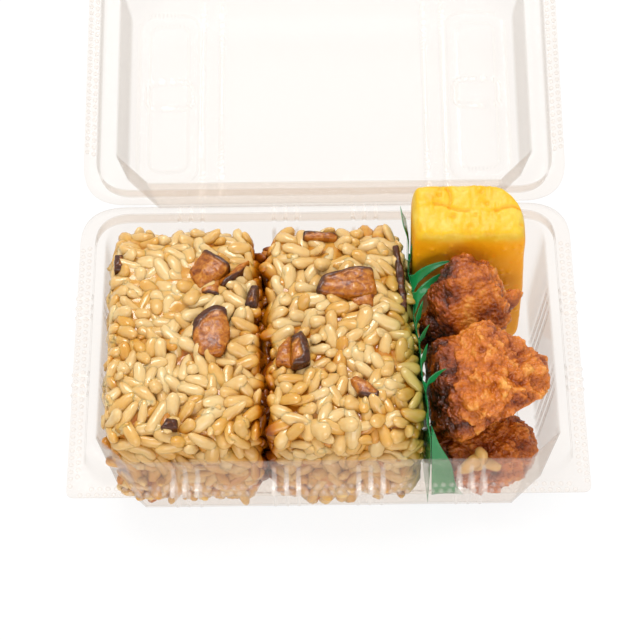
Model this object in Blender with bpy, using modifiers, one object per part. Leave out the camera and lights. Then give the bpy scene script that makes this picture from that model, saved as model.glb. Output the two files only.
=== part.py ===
"""
A boxed meal in a clear hinged pack.

The tray holds two blocks of seasoned rice with mushroom pieces, a piece of rolled omelette, fried
chicken, and a grass-cut divider between the rice and the rest. The lid stands open behind it.

Metres, +Z up. The origin is the centre of the tray's underside, +X is right, +Y is towards the
hinge. Forms are worked out from the sizes named here.
"""
import math
import random

import bmesh
import bpy
from mathutils import Matrix, Vector

MM = 0.001
GAP = 0.3 * MM                      # between solids that touch

# Clear pack
WALL = 0.4 * MM                     # thickness of the formed sheet
OUTER_HALF_X = 76.0 * MM            # edge of the flange
OUTER_HALF_Y = 53.0 * MM
HINGE_SLACK = 0.4 * MM              # the tray's flange and the lid stop this short of the hinge
HINGE_EXTRA = 1.6 * MM              # the flange is this much wider along the hinge
PANEL_EXTRA = 0.2 * MM              # and the lid's panel is this much further in
FLANGE_Z = 27.5 * MM
FLANGE_WIDTH = 5.0 * MM
BEAD_Z = 33.3 * MM
BEAD_OUTSIDE = 5.6 * MM             # insets from the outer edge
BEAD_INSIDE = 8.2 * MM
FLOOR_INSET = 12.2 * MM
FRONT_CUT_OUTSIDE = 2.5 * MM        # corner cuts: small round outside, a chamfer inside
FRONT_CUT_INSIDE = 9.0 * MM
BACK_CUT_OUTSIDE = 14.0 * MM
BACK_CUT_INSIDE = 9.0 * MM
CORNER_STEPS = 4

RIB_X = (-45.3, -41.8, -38.2, -15.9, -12.3, -8.8, 8.8, 12.3, 15.9, 38.2, 41.8, 45.3)
RIB_Y = (-17.6, -14.0, -10.4, 10.4, 14.0, 17.6)
RIB_WIDTH = 1.6 * MM
RIB_PROUD = 0.6 * MM
RIB_TOP_Z = 29.5 * MM
RIB_FOOT_Z = 1.2 * MM

HINGE_Z = 28.2 * MM
LID_LENGTH = 106.0 * MM
LID_LEAN = math.radians(11.0)       # how far the open lid's flange rises backwards
LID_FLANGE = 4.2 * MM
LID_STEP_INSET = 4.7 * MM
LID_STEP_DEPTH = 6.4 * MM
LID_LEDGE_INSET = 9.8 * MM
LID_PANEL_INSET = 12.4 * MM
LID_DEPTH = 27.5 * MM
LID_CUT_INSIDE = 10.0 * MM
LID_EMBOSS_RISE = 0.6 * MM          # raised frame on the panel

# Rice blocks: left and right faces at the front and back of the base, and how far each face leans
# out at the top. They follow the tray's sloping wall.
RICE_FRONT_Y = -39.4 * MM
RICE_BACK_Y = 35.2 * MM
RICE_BASE_Z = 0.9 * MM
RICE_TOP_Z = 39.6 * MM
RICE_PLAN_SQUARENESS = 7.0
RICE_EDGE_SQUARENESS = 9.0
RICE_BLOCKS = {
    "rice_left": {"front": (-62.4, -18.9), "back": (-62.4, -20.6), "flare": (2.8, 0.3), "seed": 11},
    "rice_right": {"front": (-16.7, 27.2), "back": (-19.0, 23.0), "flare": (0.3, 0.3), "seed": 23},
}
RICE_CELLS = (7, 11, 6)             # faces of the core along X, Y and Z
RICE_SWELL = 0.7 * MM               # soft unevenness of the core
GRAIN_LENGTH = 7.8 * MM
GRAIN_WIDTH = 3.4 * MM
GRAIN_SIDES = 6
GRAIN_SPACING = (6.2 * MM, 5.4 * MM)
GRAIN_CLEARANCE = 0.8 * MM

# Mushroom pieces: block, X, Y, length, width and thickness in mm, and turn in degrees
MUSHROOMS = {
    "mushroom_1": ("rice_left", -34.8, 17.6, 14.0, 11.0, 4.6, -50.0),
    "mushroom_2": ("rice_left", -34.8, -4.4, 17.5, 10.5, 4.8, 78.0),
    "mushroom_3": ("rice_left", -46.0, -36.4, 6.0, 4.2, 2.6, 10.0),
    "mushroom_4": ("rice_left", -62.4, 21.8, 6.5, 3.2, 2.2, 84.0),
    "mushroom_5": ("rice_left", -22.6, 8.8, 8.5, 4.2, 2.8, 70.0),
    "mushroom_6": ("rice_right", 6.2, 12.6, 18.5, 10.0, 4.6, 8.0),
    "mushroom_7": ("rice_right", -9.8, -11.8, 12.0, 9.6, 4.8, 78.0),
    "mushroom_8": ("rice_right", 11.0, -24.6, 9.0, 5.6, 3.0, -38.0),
    "mushroom_9": ("rice_right", -1.6, 31.0, 11.0, 3.0, 2.4, -6.0),
    "mushroom_10": ("rice_right", 22.0, 16.0, 23.0, 3.2, 2.6, 93.0),
}
MUSHROOM_CELLS = (4, 3, 1)
MUSHROOM_GAP = 0.5 * MM

# Rolled omelette, a block that leans back a little
OMELETTE_X = (26.1 * MM, 60.4 * MM)
OMELETTE_FOOT_Y = (18.5 * MM, 37.4 * MM)
OMELETTE_TOP_Y = (22.2 * MM, 40.2 * MM)
OMELETTE_BASE_Z = 0.9 * MM
OMELETTE_TOP_Z = (51.2 * MM, 54.4 * MM)
OMELETTE_CELLS = (6, 5, 8)
OMELETTE_ROUND = 11.0               # how square its corners are
OMELETTE_CORNER = 91.6 * MM         # its right back corner is cut at this sum of X and Y

# Fried chicken. Lobes: azimuth, elevation, height, spread in degrees
CHICKEN = {
    "chicken_back": {
        "centre": (43.5, 7.0, 26.0), "radii": (12.0, 11.5, 23.0), "seed": 3,
        "lobes": ((20, 28, 6.0, 13), (94, 65, 6.6, 28), (165, 56, 3.0, 20), (-70, 45, 2.5, 24),
                  (-60, -40, 3.0, 26), (180, -15, 4.5, 32)),
        "limits": (((0, 1, -0.06), (0, 18.0, 1)), ((0.10, -0.86, 0.5), (47, -8.4, 22)),
                   ((-1, -0.075, 0.0), (28.7, 0, 0)), ((-1, -0.05, 0.28), (31.4, 0, 40)), ((0, 0, 1), (0, 0, 50.5))),
    },
    "chicken_front": {
        "centre": (48.0, -18.5, 32.5), "radii": (16.0, 15.5, 13.2), "seed": 8,
        "lobes": ((94, 42, 5.5, 20), (145, 19, 2.0, 22), (6, 23, 4.5, 20), (-127, -18, 3.5, 22),
                  (-50, 20, 2.0, 24), (180, -35, 8.0, 28)),
        "limits": (((-0.10, 0.86, -0.5), (47, -9.1, 22)), ((0.05, -0.1, -1), (48, -25, 20.6)),
                   ((-1, -0.075, 0.0), (28.7, 0, 0)), ((-1, -0.05, 0.28), (31.4, 0, 40)), ((1, 0, -0.12), (64.8, 0, 34)),
                   ((1, 0, 0.123), (65.4, 0, 34.6)), ((0.49, -0.71, -0.50), (52.9, -24.2, 25))),
    },
    "chicken_low": {
        "centre": (46.5, -27.0, 10.6), "radii": (15.5, 14.0, 10.5), "seed": 14,
        "lobes": ((-30, 20, 2.0, 24), (-150, 15, 2.0, 24), (80, 10, 3.0, 26), (0, 35, 2.0, 20),
                  (180, 10, 4.0, 40)),
        "limits": (((-0.05, 0.1, 1), (48, -25, 19.9)), ((0.10, 0.86, 0.1), (47, -9.1, 10)),
                   ((-1, -0.075, 0.0), (28.7, 0, 0)), ((-1, -0.05, 0.28), (31.4, 0, 40)), ((1, 0, -0.12), (61.6, 0, 5)),
                   ((0, -1, -0.12), (0, -39.4, 4)), ((0.707, -0.707, -0.12), (56.5, -36.0, 4))),
    },
}
CHICKEN_DETAIL = 3                  # icosphere subdivisions
CHICKEN_CRAG = 1.3 * MM
CHICKEN_FLOOR = 0.9 * MM

# Grass-cut divider, a thin green film that runs front to back
DIVIDER_THICKNESS = 0.3 * MM
DIVIDER_Y = (-39.8 * MM, 37.6 * MM)
DIVIDER_X_FRONT = 29.8 * MM
DIVIDER_X_BACK = 25.2 * MM
DIVIDER_STRAIGHT_Y = 19.0 * MM      # from here back it runs straight, beside the omelette
DIVIDER_FOOT_Z = 0.9 * MM
DIVIDER_ROOT_Z = 37.0 * MM          # where the blades part
# Blades from front to back: width, reach to the right, height of the tip above the root, lean
DIVIDER_BLADES = (
    (10.0, 6.0, 5.5, -3.0), (8.0, 2.5, 9.0, 1.5), (8.5, 6.5, 8.5, -2.0), (8.0, 2.0, 8.0, 2.0),
    (8.5, 2.5, 9.0, -1.5), (9.0, 6.5, 9.0, 1.0), (9.0, 5.5, 9.5, 2.0), (9.0, 0.2, 11.0, 1.5),
    (10.0, 0.2, 12.0, 0.0),
)
DIVIDER_ROWS = 2
BLADE_STEPS = 3
BLADE_CURL = 1.6

COLOURS = {                          # linear colour, roughness, alpha
    "clear_plastic": ((0.86, 0.88, 0.88), 0.08, 0.25),
    "rice": ((0.62, 0.45, 0.24), 0.35, 1.0),
    "mushroom": ((0.20, 0.10, 0.04), 0.5, 1.0),
    "omelette": ((0.82, 0.60, 0.07), 0.5, 1.0),
    "chicken": ((0.40, 0.16, 0.04), 0.55, 1.0),
    "green_film": ((0.05, 0.36, 0.14), 0.25, 1.0),
}


def material(name):
    """A Principled material with the colour, roughness and alpha named above."""
    if name in bpy.data.materials:
        return bpy.data.materials[name]
    colour, roughness, alpha = COLOURS[name]
    mat = bpy.data.materials.new(name)
    mat.use_nodes = True
    shader = mat.node_tree.nodes["Principled BSDF"]
    shader.inputs["Base Color"].default_value = (*colour, 1.0)
    shader.inputs["Roughness"].default_value = roughness
    shader.inputs["Metallic"].default_value = 0.0
    shader.inputs["Alpha"].default_value = alpha
    return mat


def add_object(name, mesh, material_name, collection):
    """Links a mesh as a named object with its material."""
    obj = bpy.data.objects.new(name, mesh)
    collection.objects.link(obj)
    mesh.materials.append(material(material_name))
    return obj


def mesh_from_bmesh(name, bm):
    """Closes a bmesh into a mesh of triangles, so that both faces of a thin wall split alike."""
    bmesh.ops.triangulate(bm, faces=bm.faces[:])
    mesh = bpy.data.meshes.new(name)
    bm.to_mesh(mesh)
    bm.free()
    return mesh


def stations(low, high, places, shift):
    """Points along a straight side from low to high, with a proud stretch at each rib's place."""
    points = [(low, 0.0)]
    for place in places:
        start, end = place - RIB_WIDTH / 2, place + RIB_WIDTH / 2
        points += [(start, 0.0), (start + shift, 1.0), (end - shift, 1.0), (end, 0.0)]
    points.append((high, 0.0))
    return points


def ring(half_x, front, back, front_cut, back_cut, front_bulge, back_bulge, z, ribs=False, proud=0.0):
    """
    One ring of the pack, anticlockwise from above. Each corner is a curve between the two sides'
    ends, pulled towards the sharp corner by its bulge: 0 is a chamfer, 1 is round. Where ribs are
    asked for, the straight sides carry a point pair at each, moved out by proud.
    """
    rib_x = [x * MM for x in RIB_X] if ribs else []
    rib_y = [y * MM for y in RIB_Y] if ribs else []
    bevel = RIB_WIDTH / 4
    sides = (
        ((-half_x + front_cut, front), (half_x - front_cut, front), rib_x, (0, -1)),
        ((half_x, front + front_cut), (half_x, back - back_cut), rib_y, (1, 0)),
        ((half_x - back_cut, back), (-half_x + back_cut, back), rib_x[::-1], (0, 1)),
        ((-half_x, back - back_cut), (-half_x, front + front_cut), rib_y[::-1], (-1, 0)),
    )
    corners = ((half_x, front), (half_x, back), (-half_x, back), (-half_x, front))
    bulges = (front_bulge, back_bulge, back_bulge, front_bulge)
    points = []
    for index, (start, end, places, outward) in enumerate(sides):
        axis = 0 if outward[0] == 0 else 1
        direction = 1.0 if end[axis] > start[axis] else -1.0
        along = stations(start[axis] * direction, end[axis] * direction,
                         [place * direction for place in places], bevel)
        for value, lift in along:
            point = [0.0, 0.0]
            point[axis] = value * direction
            point[1 - axis] = start[1 - axis]
            points.append((point[0] + outward[0] * proud * lift,
                           point[1] + outward[1] * proud * lift, z))
        following = sides[(index + 1) % len(sides)][0]
        middle = Vector(((end[0] + following[0]) / 2, (end[1] + following[1]) / 2))
        pull = middle.lerp(Vector(corners[index]), bulges[index])
        for step in range(1, CORNER_STEPS):
            t = step / CORNER_STEPS
            curve = (Vector(end) * (1 - t) ** 2 + pull * 2 * t * (1 - t)
                     + Vector(following) * t ** 2)
            points.append((curve.x, curve.y, z))
    return points


def loft(bm, rings):
    """Skins a list of rings with equal counts, and closes the last one with a flat face."""
    rows = [[bm.verts.new(point) for point in points] for points in rings]
    count = len(rows[0])
    for outer, inner in zip(rows, rows[1:]):
        for i in range(count):
            j = (i + 1) % count
            bm.faces.new((outer[i], outer[j], inner[j], inner[i]))
    bm.faces.new(rows[-1])


def blend(low, high, share):
    """A value between two others."""
    return low + (high - low) * min(max(share, 0.0), 1.0)


def hinge_side(inset, flange_width, extra=HINGE_EXTRA):
    """The inset along the hinge, where the flange is wider, for an inset of the other sides."""
    return max(inset + extra * min(inset / flange_width, 1.0), HINGE_SLACK)


def tray_ring(inset, z, proud=0.0):
    """A ring of the tray at an inset from its outer edge."""
    share = inset / BEAD_INSIDE
    back = OUTER_HALF_Y - hinge_side(inset, FLANGE_WIDTH)
    return ring(OUTER_HALF_X - inset, -OUTER_HALF_Y + inset, back,
                blend(FRONT_CUT_OUTSIDE, FRONT_CUT_INSIDE, share),
                blend(BACK_CUT_OUTSIDE, BACK_CUT_INSIDE, share),
                1.0 - min(share, 1.0), 1.0, z, True, proud)


def make_tray(collection):
    """The tray: flange, bead, sloping ribbed wall and floor, one formed sheet."""
    drop = (FLOOR_INSET - BEAD_INSIDE) / BEAD_Z
    rib_top = BEAD_INSIDE + (BEAD_Z - RIB_TOP_Z) * drop
    rib_foot = BEAD_INSIDE + (BEAD_Z - RIB_FOOT_Z) * drop
    bm = bmesh.new()
    loft(bm, [
        tray_ring(0.0, FLANGE_Z),
        tray_ring(FLANGE_WIDTH, FLANGE_Z),
        tray_ring(BEAD_OUTSIDE, BEAD_Z),
        tray_ring(BEAD_INSIDE, BEAD_Z),
        tray_ring(rib_top, RIB_TOP_Z, RIB_PROUD),
        tray_ring(rib_foot, RIB_FOOT_Z, RIB_PROUD),
        tray_ring(FLOOR_INSET, 0.0),
    ])
    tray = add_object("tray", mesh_from_bmesh("tray", bm), "clear_plastic", collection)
    solidify = tray.modifiers.new("sheet", "SOLIDIFY")
    solidify.thickness = WALL
    solidify.offset = 1.0
    return tray


def lid_ring(inset, depth):
    """A ring of the lid at an inset from its outer edge and a depth below its flange."""
    share = inset / LID_LEDGE_INSET
    extra = HINGE_EXTRA if inset <= LID_LEDGE_INSET else PANEL_EXTRA
    round_share = (inset - LID_STEP_INSET) / (LID_LEDGE_INSET - LID_STEP_INSET)
    return ring(OUTER_HALF_X - inset, hinge_side(inset, LID_FLANGE, extra), LID_LENGTH - inset,
                max(blend(BACK_CUT_OUTSIDE, BACK_CUT_INSIDE, inset / BEAD_INSIDE), LID_CUT_INSIDE),
                blend(FRONT_CUT_OUTSIDE, LID_CUT_INSIDE, share),
                1.0 - min(max(round_share, 0.0), 1.0), 1.0 - min(share, 1.0), -depth)


def make_lid(collection):
    """The lid: flange, step that clips over the bead, wall and panel with a raised frame."""
    frame_out = LID_PANEL_INSET + 5.0 * MM
    frame_in = frame_out + 5.0 * MM
    bm = bmesh.new()
    loft(bm, [
        lid_ring(0.0, 0.0),
        lid_ring(LID_FLANGE, 0.0),
        lid_ring(LID_STEP_INSET, LID_STEP_DEPTH),
        lid_ring(LID_LEDGE_INSET, LID_STEP_DEPTH),
        lid_ring(LID_PANEL_INSET, LID_DEPTH),
        lid_ring(frame_out, LID_DEPTH),
        lid_ring(frame_out + LID_EMBOSS_RISE, LID_DEPTH + LID_EMBOSS_RISE),
        lid_ring(frame_in, LID_DEPTH + LID_EMBOSS_RISE),
        lid_ring(frame_in + LID_EMBOSS_RISE, LID_DEPTH),
    ])
    lid = add_object("lid", mesh_from_bmesh("lid", bm), "clear_plastic", collection)
    lid.location = (0.0, OUTER_HALF_Y, HINGE_Z)
    lid.rotation_euler = (LID_LEAN, 0.0, 0.0)
    solidify = lid.modifiers.new("sheet", "SOLIDIFY")
    solidify.thickness = WALL
    solidify.offset = -1.0
    return lid


def cube_grid(cells):
    """A cube primitive from -1 to 1, cut into the given number of cells along each axis."""
    bm = bmesh.new()
    bmesh.ops.create_cube(bm, size=2.0)
    for axis, count in enumerate(cells):
        normal = Vector((0.0, 0.0, 0.0))
        normal[axis] = 1.0
        for index in range(1, count):
            place = normal * (-1.0 + 2.0 * index / count)
            bmesh.ops.bisect_plane(bm, geom=bm.verts[:] + bm.edges[:] + bm.faces[:],
                                   plane_co=place, plane_no=normal)
    return bm


def rounded(point, plan, edge):
    """
    Moves a point of a cube's surface onto a rounded box, by power means of its coordinates: one
    for its outline from above, and one for its upper and lower edges.
    """
    outline = (abs(point.x) ** plan + abs(point.y) ** plan) ** (edge / plan)
    return point / (outline + abs(point.z) ** edge) ** (1.0 / edge)


def swell(x, y):
    """Soft unevenness of a rice block's top at a place in metres."""
    return RICE_SWELL * math.sin(x / (7.1 * MM) + 0.6) * math.sin(y / (9.3 * MM) + 0.4)


class RiceBlock:
    """The bare core of a block, a rounded box between its four sloping faces."""

    def __init__(self, name):
        spec = RICE_BLOCKS[name]
        self.front = [x * MM for x in spec["front"]]
        self.back = [x * MM for x in spec["back"]]
        self.flare = [x * MM for x in spec["flare"]]
        self.seed = spec["seed"]
        self.half_y = (RICE_BACK_Y - RICE_FRONT_Y) / 2
        self.middle_y = (RICE_BACK_Y + RICE_FRONT_Y) / 2
        self.half_z = (RICE_TOP_Z - RICE_BASE_Z) / 2
        self.middle_z = (RICE_TOP_Z + RICE_BASE_Z) / 2

    def faces(self, along, up):
        """Left and right faces at shares from -1 to 1 along the block and up it."""
        share = (along + 1.0) / 2
        lean = (up + 1.0) / 2
        left = blend(self.front[0], self.back[0], share) - self.flare[0] * lean
        right = blend(self.front[1], self.back[1], share) + self.flare[1] * lean
        return left, right

    def surface(self, direction):
        """The core's point for a point of the unit cube's surface."""
        share = rounded(direction, RICE_PLAN_SQUARENESS, RICE_EDGE_SQUARENESS)
        left, right = self.faces(share.y, share.z)
        x = (left + right) / 2 + share.x * (right - left) / 2
        y = self.middle_y + share.y * self.half_y
        lift = swell(x, y) * max(share.z, 0.0)
        return Vector((x, y, self.middle_z + share.z * self.half_z + lift))

    def top(self, x, y):
        """Height of the core's top over a place."""
        v = (y - self.middle_y) / self.half_y
        left, right = self.faces(v, 1.0)
        u = (2 * x - left - right) / (right - left)
        plan = (abs(u) ** RICE_PLAN_SQUARENESS + abs(v) ** RICE_PLAN_SQUARENESS)
        rest = 1.0 - plan ** (RICE_EDGE_SQUARENESS / RICE_PLAN_SQUARENESS)
        share = max(rest, 0.0) ** (1.0 / RICE_EDGE_SQUARENESS)
        return self.middle_z + share * self.half_z + swell(x, y) * share

    def core(self):
        """The core as a bmesh."""
        bm = cube_grid(RICE_CELLS)
        for vert in bm.verts:
            vert.co = self.surface(vert.co)
        return bm


def near_mushroom(block_name, middle, along, half_length):
    """True where a grain's middle or ends come over a mushroom piece of its block."""
    for spec in MUSHROOMS.values():
        if spec[0] != block_name:
            continue
        turn = math.radians(spec[6])
        half_l = spec[3] / 2 * MM + GRAIN_WIDTH / 2 + GRAIN_CLEARANCE
        half_w = spec[4] / 2 * MM + GRAIN_WIDTH / 2 + GRAIN_CLEARANCE
        for end in (-1.0, -0.5, 0.0, 0.5, 1.0):
            point = middle + along * half_length * end
            dx, dy = point.x - spec[1] * MM, point.y - spec[2] * MM
            forward = dx * math.cos(turn) + dy * math.sin(turn)
            across = -dx * math.sin(turn) + dy * math.cos(turn)
            if abs(forward) < half_l and abs(across) < half_w:
                return True
    return False


def grain_places(name, block):
    """
    Where the grains lie: a jittered grid over the top and the upper part of the front, left and
    right faces. Each place is a point of the unit cube's surface, and a turn in the face.
    """
    draw = random.Random(block.seed)
    places = []
    columns = int((block.front[1] - block.front[0]) / GRAIN_SPACING[0])
    rows = int(2 * block.half_y / GRAIN_SPACING[1])
    for row in range(rows):
        for column in range(columns):
            shift = 0.5 if row % 2 else 0.0
            u = -0.94 + 1.88 * (column + 0.25 + shift + draw.uniform(-0.18, 0.18)) / columns
            v = -0.95 + 1.90 * (row + 0.5 + draw.uniform(-0.2, 0.2)) / rows
            turn = draw.uniform(0.0, math.pi)
            places.append((Vector((u, v, 1.0)), turn))
    for column in range(columns):
        for w in (0.28, 0.55, 0.8):
            u = -0.85 + 1.70 * (column + 0.5 + draw.uniform(-0.2, 0.2)) / columns
            places.append((Vector((u, -1.0, w)), draw.uniform(0.0, math.pi)))
    for side in (-1.0, 1.0):
        for row in range(rows - 1):
            v = -0.85 + 1.70 * (row + 0.5 + draw.uniform(-0.2, 0.2)) / (rows - 1)
            places.append((Vector((side, v, 0.84)), draw.uniform(0.0, math.pi)))
    return places


def grain_mesh():
    """One grain, a long low sphere with few sides."""
    bm = bmesh.new()
    bmesh.ops.create_uvsphere(bm, u_segments=GRAIN_SIDES, v_segments=3, radius=1.0,
                              matrix=Matrix.Rotation(math.pi / 2, 4, "Y"))
    mesh = bpy.data.meshes.new("grain")
    bm.to_mesh(mesh)
    bm.free()
    return mesh


def seam_x(y):
    """Middle of the gap between the two blocks at a distance along the pack."""
    share = (y - RICE_FRONT_Y) / (RICE_BACK_Y - RICE_FRONT_Y)
    left, right = RICE_BLOCKS["rice_left"], RICE_BLOCKS["rice_right"]
    front = (left["front"][1] + right["front"][0]) / 2
    back = (left["back"][1] + right["back"][0]) / 2
    return blend(front, back, share) * MM


def grain_fits(name, middle, axis, half_length):
    """True where a grain stays clear of the mushroom pieces, the divider and the walls."""
    if near_mushroom(name, middle, axis, half_length):
        return False
    reach_x = abs(axis.x) * half_length + GRAIN_WIDTH / 2
    reach_y = abs(axis.y) * half_length + GRAIN_WIDTH / 2
    share = middle.z / BEAD_Z
    wall = FLOOR_INSET - (FLOOR_INSET - BEAD_INSIDE) * min(share, 1.0) + 2 * GAP + WALL
    wall_y = wall + HINGE_EXTRA * (middle.y > 0.0)
    if abs(middle.x) + reach_x > OUTER_HALF_X - wall:
        return False
    if abs(middle.y) + reach_y > OUTER_HALF_Y - wall_y:
        return False
    corner = abs(middle.x) + reach_x + abs(middle.y) + reach_y
    if corner > OUTER_HALF_X + OUTER_HALF_Y - 2 * wall - FRONT_CUT_INSIDE:
        return False
    if middle.x + reach_x > divider_x(middle.y) - 2 * GAP:
        return False
    if name == "rice_left":
        return middle.x + reach_x < seam_x(middle.y) - GAP
    return middle.x - reach_x > seam_x(middle.y) + GAP


def make_rice(name, collection):
    """A rice block: the bare core with grains fused on by one union, loose scraps dropped."""
    block = RiceBlock(name)
    core = add_object(name, mesh_from_bmesh(name, block.core()), "rice", collection)
    draw = random.Random(block.seed + 1)
    grains = bpy.data.collections.new(name + "_grains")
    bpy.context.scene.collection.children.link(grains)
    mesh = grain_mesh()
    for cube_point, turn in grain_places(name, block):
        length = GRAIN_LENGTH * draw.uniform(0.85, 1.08)
        width = GRAIN_WIDTH * draw.uniform(0.9, 1.06)
        tilt = draw.uniform(-0.3, 0.3)
        sink = width * draw.uniform(-0.06, 0.1)
        here = block.surface(cube_point)
        step = 0.02
        side = Vector((1, 0, 0)) if abs(cube_point.x) < 1.0 else Vector((0, 0, 1))
        other = Vector((0, 1, 0)) if abs(cube_point.y) < 1.0 else Vector((0, 0, 1))
        tangent = (block.surface(cube_point + side * step) - here).normalized()
        second = (block.surface(cube_point + other * step) - here).normalized()
        normal = tangent.cross(second).normalized()
        inside = Vector((sum(block.front) / 2, block.middle_y, block.middle_z))
        if normal.dot(here - inside) < 0:
            normal.negate()
        along = (tangent * math.cos(turn) + normal.cross(tangent) * math.sin(turn)).normalized()
        along = (along + normal * tilt).normalized()
        across = normal.cross(along).normalized()
        up = along.cross(across)
        middle = here - normal * sink
        if not grain_fits(name, middle, along, length / 2):
            continue
        grain = bpy.data.objects.new("grain", mesh)
        frame = Matrix((along * length / 2, across * width / 2, up * width / 2)).transposed()
        grain.matrix_world = Matrix.Translation(middle) @ frame.to_4x4()
        grains.objects.link(grain)
    bpy.context.view_layer.update()
    union = core.modifiers.new("grains", "BOOLEAN")
    union.operation = "UNION"
    union.operand_type = "COLLECTION"
    union.collection = grains
    union.solver = "EXACT"
    apply_modifiers(core)
    for grain in list(grains.objects):
        bpy.data.objects.remove(grain)
    bpy.data.collections.remove(grains)
    keep_largest(core)
    return core


def apply_modifiers(obj):
    """Replaces an object's mesh by its evaluated one."""
    bpy.context.view_layer.update()
    evaluated = obj.evaluated_get(bpy.context.evaluated_depsgraph_get())
    mesh = bpy.data.meshes.new_from_object(evaluated)
    obj.modifiers.clear()
    obj.data = mesh


def keep_largest(obj):
    """Drops every loose piece but the one with the most vertices, which also fills hollows."""
    bm = bmesh.new()
    bm.from_mesh(obj.data)
    bmesh.ops.remove_doubles(bm, verts=bm.verts[:], dist=0.00001)
    bmesh.ops.triangulate(bm, faces=bm.faces[:])
    unseen = set(bm.verts)
    pieces = []
    while unseen:
        stack = [unseen.pop()]
        piece = []
        while stack:
            vert = stack.pop()
            piece.append(vert)
            for edge in vert.link_edges:
                other = edge.other_vert(vert)
                if other in unseen:
                    unseen.discard(other)
                    stack.append(other)
        pieces.append(piece)
    pieces.sort(key=len)
    for piece in pieces[:-1]:
        bmesh.ops.delete(bm, geom=piece, context="VERTS")
    bm.to_mesh(obj.data)
    bm.free()


def make_mushroom(name, collection):
    """A cut piece of mushroom that lies on its block, following the core with a small gap."""
    block_name, x, y, length, width, thickness, turn = MUSHROOMS[name]
    block = RiceBlock(block_name)
    turn = math.radians(turn)
    bm = cube_grid(MUSHROOM_CELLS)
    for vert in bm.verts:
        a, b, c = vert.co
        a_round = a * math.sqrt(1.0 - 0.28 * b * b)
        b_round = b * math.sqrt(1.0 - 0.28 * a * a)
        waist = 1.0 + 0.10 * math.sin(2.3 * a + length)
        along, across = a_round * length / 2 * MM, b_round * width / 2 * MM * waist
        px = x * MM + along * math.cos(turn) - across * math.sin(turn)
        py = y * MM + along * math.sin(turn) + across * math.cos(turn)
        crown = 1.0 - 0.22 * a * a - 0.18 * b * b + 0.08 * math.sin(3.0 * a + 2.0 * b)
        height = block.top(px, py) + MUSHROOM_GAP
        if c > 0:
            height += thickness * MM * crown
        vert.co = (px, py, height)
    return add_object(name, mesh_from_bmesh(name, bm), "mushroom", collection)


def make_omelette(collection):
    """The rolled omelette, a rounded block that narrows and leans back towards its top."""
    bm = cube_grid(OMELETTE_CELLS)
    for vert in bm.verts:
        share = rounded(vert.co, OMELETTE_ROUND, OMELETTE_ROUND)
        up = (share.z + 1.0) / 2
        x = blend(*OMELETTE_X, (share.x + 1.0) / 2)
        front = blend(OMELETTE_FOOT_Y[0], OMELETTE_TOP_Y[0], up)
        back = blend(OMELETTE_FOOT_Y[1], OMELETTE_TOP_Y[1], up)
        y = blend(front, back, (share.y + 1.0) / 2)
        over = max(x + y - OMELETTE_CORNER, 0.0) / 2
        x, y = x - over, y - over
        top = blend(*OMELETTE_TOP_Z, (share.y + 1.0) / 2)
        vert.co = (x, y, blend(OMELETTE_BASE_Z, top, up))
    return add_object("omelette", mesh_from_bmesh("omelette", bm), "omelette", collection)


def crag(direction, seed):
    """Relief of the crust in a direction: three crossed waves of falling length, about -1 to 1."""
    x, y, z = direction
    value = math.sin(5.1 * x + seed) * math.sin(4.3 * y + 1.7 * seed)
    value += 0.7 * math.sin(8.3 * z + 6.1 * x + 0.6 * seed) * math.sin(7.7 * y - 2.1 * seed)
    value += 0.5 * math.sin(13.0 * x - 9.0 * z + seed) * math.sin(12.0 * y + 7.0 * z)
    return value / 1.6


def make_chicken(name, collection):
    """
    A piece of fried chicken: a ball stretched to its radii, with lobes and crags, each point moved
    along its ray, and pressed flat where it meets the floor, the walls or its neighbours.
    """
    spec = CHICKEN[name]
    centre = Vector(spec["centre"]) * MM
    radii = Vector(spec["radii"]) * MM
    limits = [(Vector(normal), Vector(point) * MM) for normal, point in spec["limits"]]
    limits.append((Vector((0, 0, -1)), Vector((0, 0, CHICKEN_FLOOR))))
    bm = bmesh.new()
    bmesh.ops.create_icosphere(bm, subdivisions=CHICKEN_DETAIL, radius=1.0)
    for vert in bm.verts:
        ray = vert.co.normalized()
        reach = 1.0 / math.sqrt(sum((ray[i] / radii[i]) ** 2 for i in range(3)))
        for azimuth, elevation, height, spread in spec["lobes"]:
            azimuth, elevation = math.radians(azimuth), math.radians(elevation)
            peak = Vector((math.cos(azimuth) * math.cos(elevation),
                           math.sin(azimuth) * math.cos(elevation), math.sin(elevation)))
            away = math.degrees(ray.angle(peak)) / spread
            reach += height * MM * math.exp(-away * away)
        reach += CHICKEN_CRAG * crag(ray, spec["seed"])
        for normal, point in limits:
            facing = ray.dot(normal)
            if facing > 1e-6:
                reach = min(reach, (point - centre).dot(normal) / facing)
        vert.co = centre + ray * reach
    return add_object(name, mesh_from_bmesh(name, bm), "chicken", collection)


def divider_x(y):
    """The film's place from left to right at a distance along the pack."""
    share = (y - DIVIDER_Y[0]) / (DIVIDER_STRAIGHT_Y - DIVIDER_Y[0])
    return blend(DIVIDER_X_FRONT, DIVIDER_X_BACK, share)


def blade_rows(bm, root, middle_y, half_width, reach, height, lean):
    """
    A blade over its three root points: rows that narrow towards the tip, curl to the right by a
    power of their height and lean along the pack.
    """
    below = root
    for step in range(1, BLADE_STEPS):
        t = step / BLADE_STEPS
        row = []
        for side in (-1.0, 0.0, 1.0):
            y = middle_y + side * half_width * (1.0 - t) + lean * t * t
            x = divider_x(middle_y) + reach * t ** BLADE_CURL
            z = DIVIDER_ROOT_Z + height * math.sin(t * math.pi / 2)
            row.append(bm.verts.new((x, y, z)))
        for left in range(2):
            bm.faces.new((below[left], below[left + 1], row[left + 1], row[left]))
        below = row
    tip = bm.verts.new((divider_x(middle_y) + reach, middle_y + lean, DIVIDER_ROOT_Z + height))
    bm.faces.new((below[0], below[1], tip))
    bm.faces.new((below[1], below[2], tip))


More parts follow.
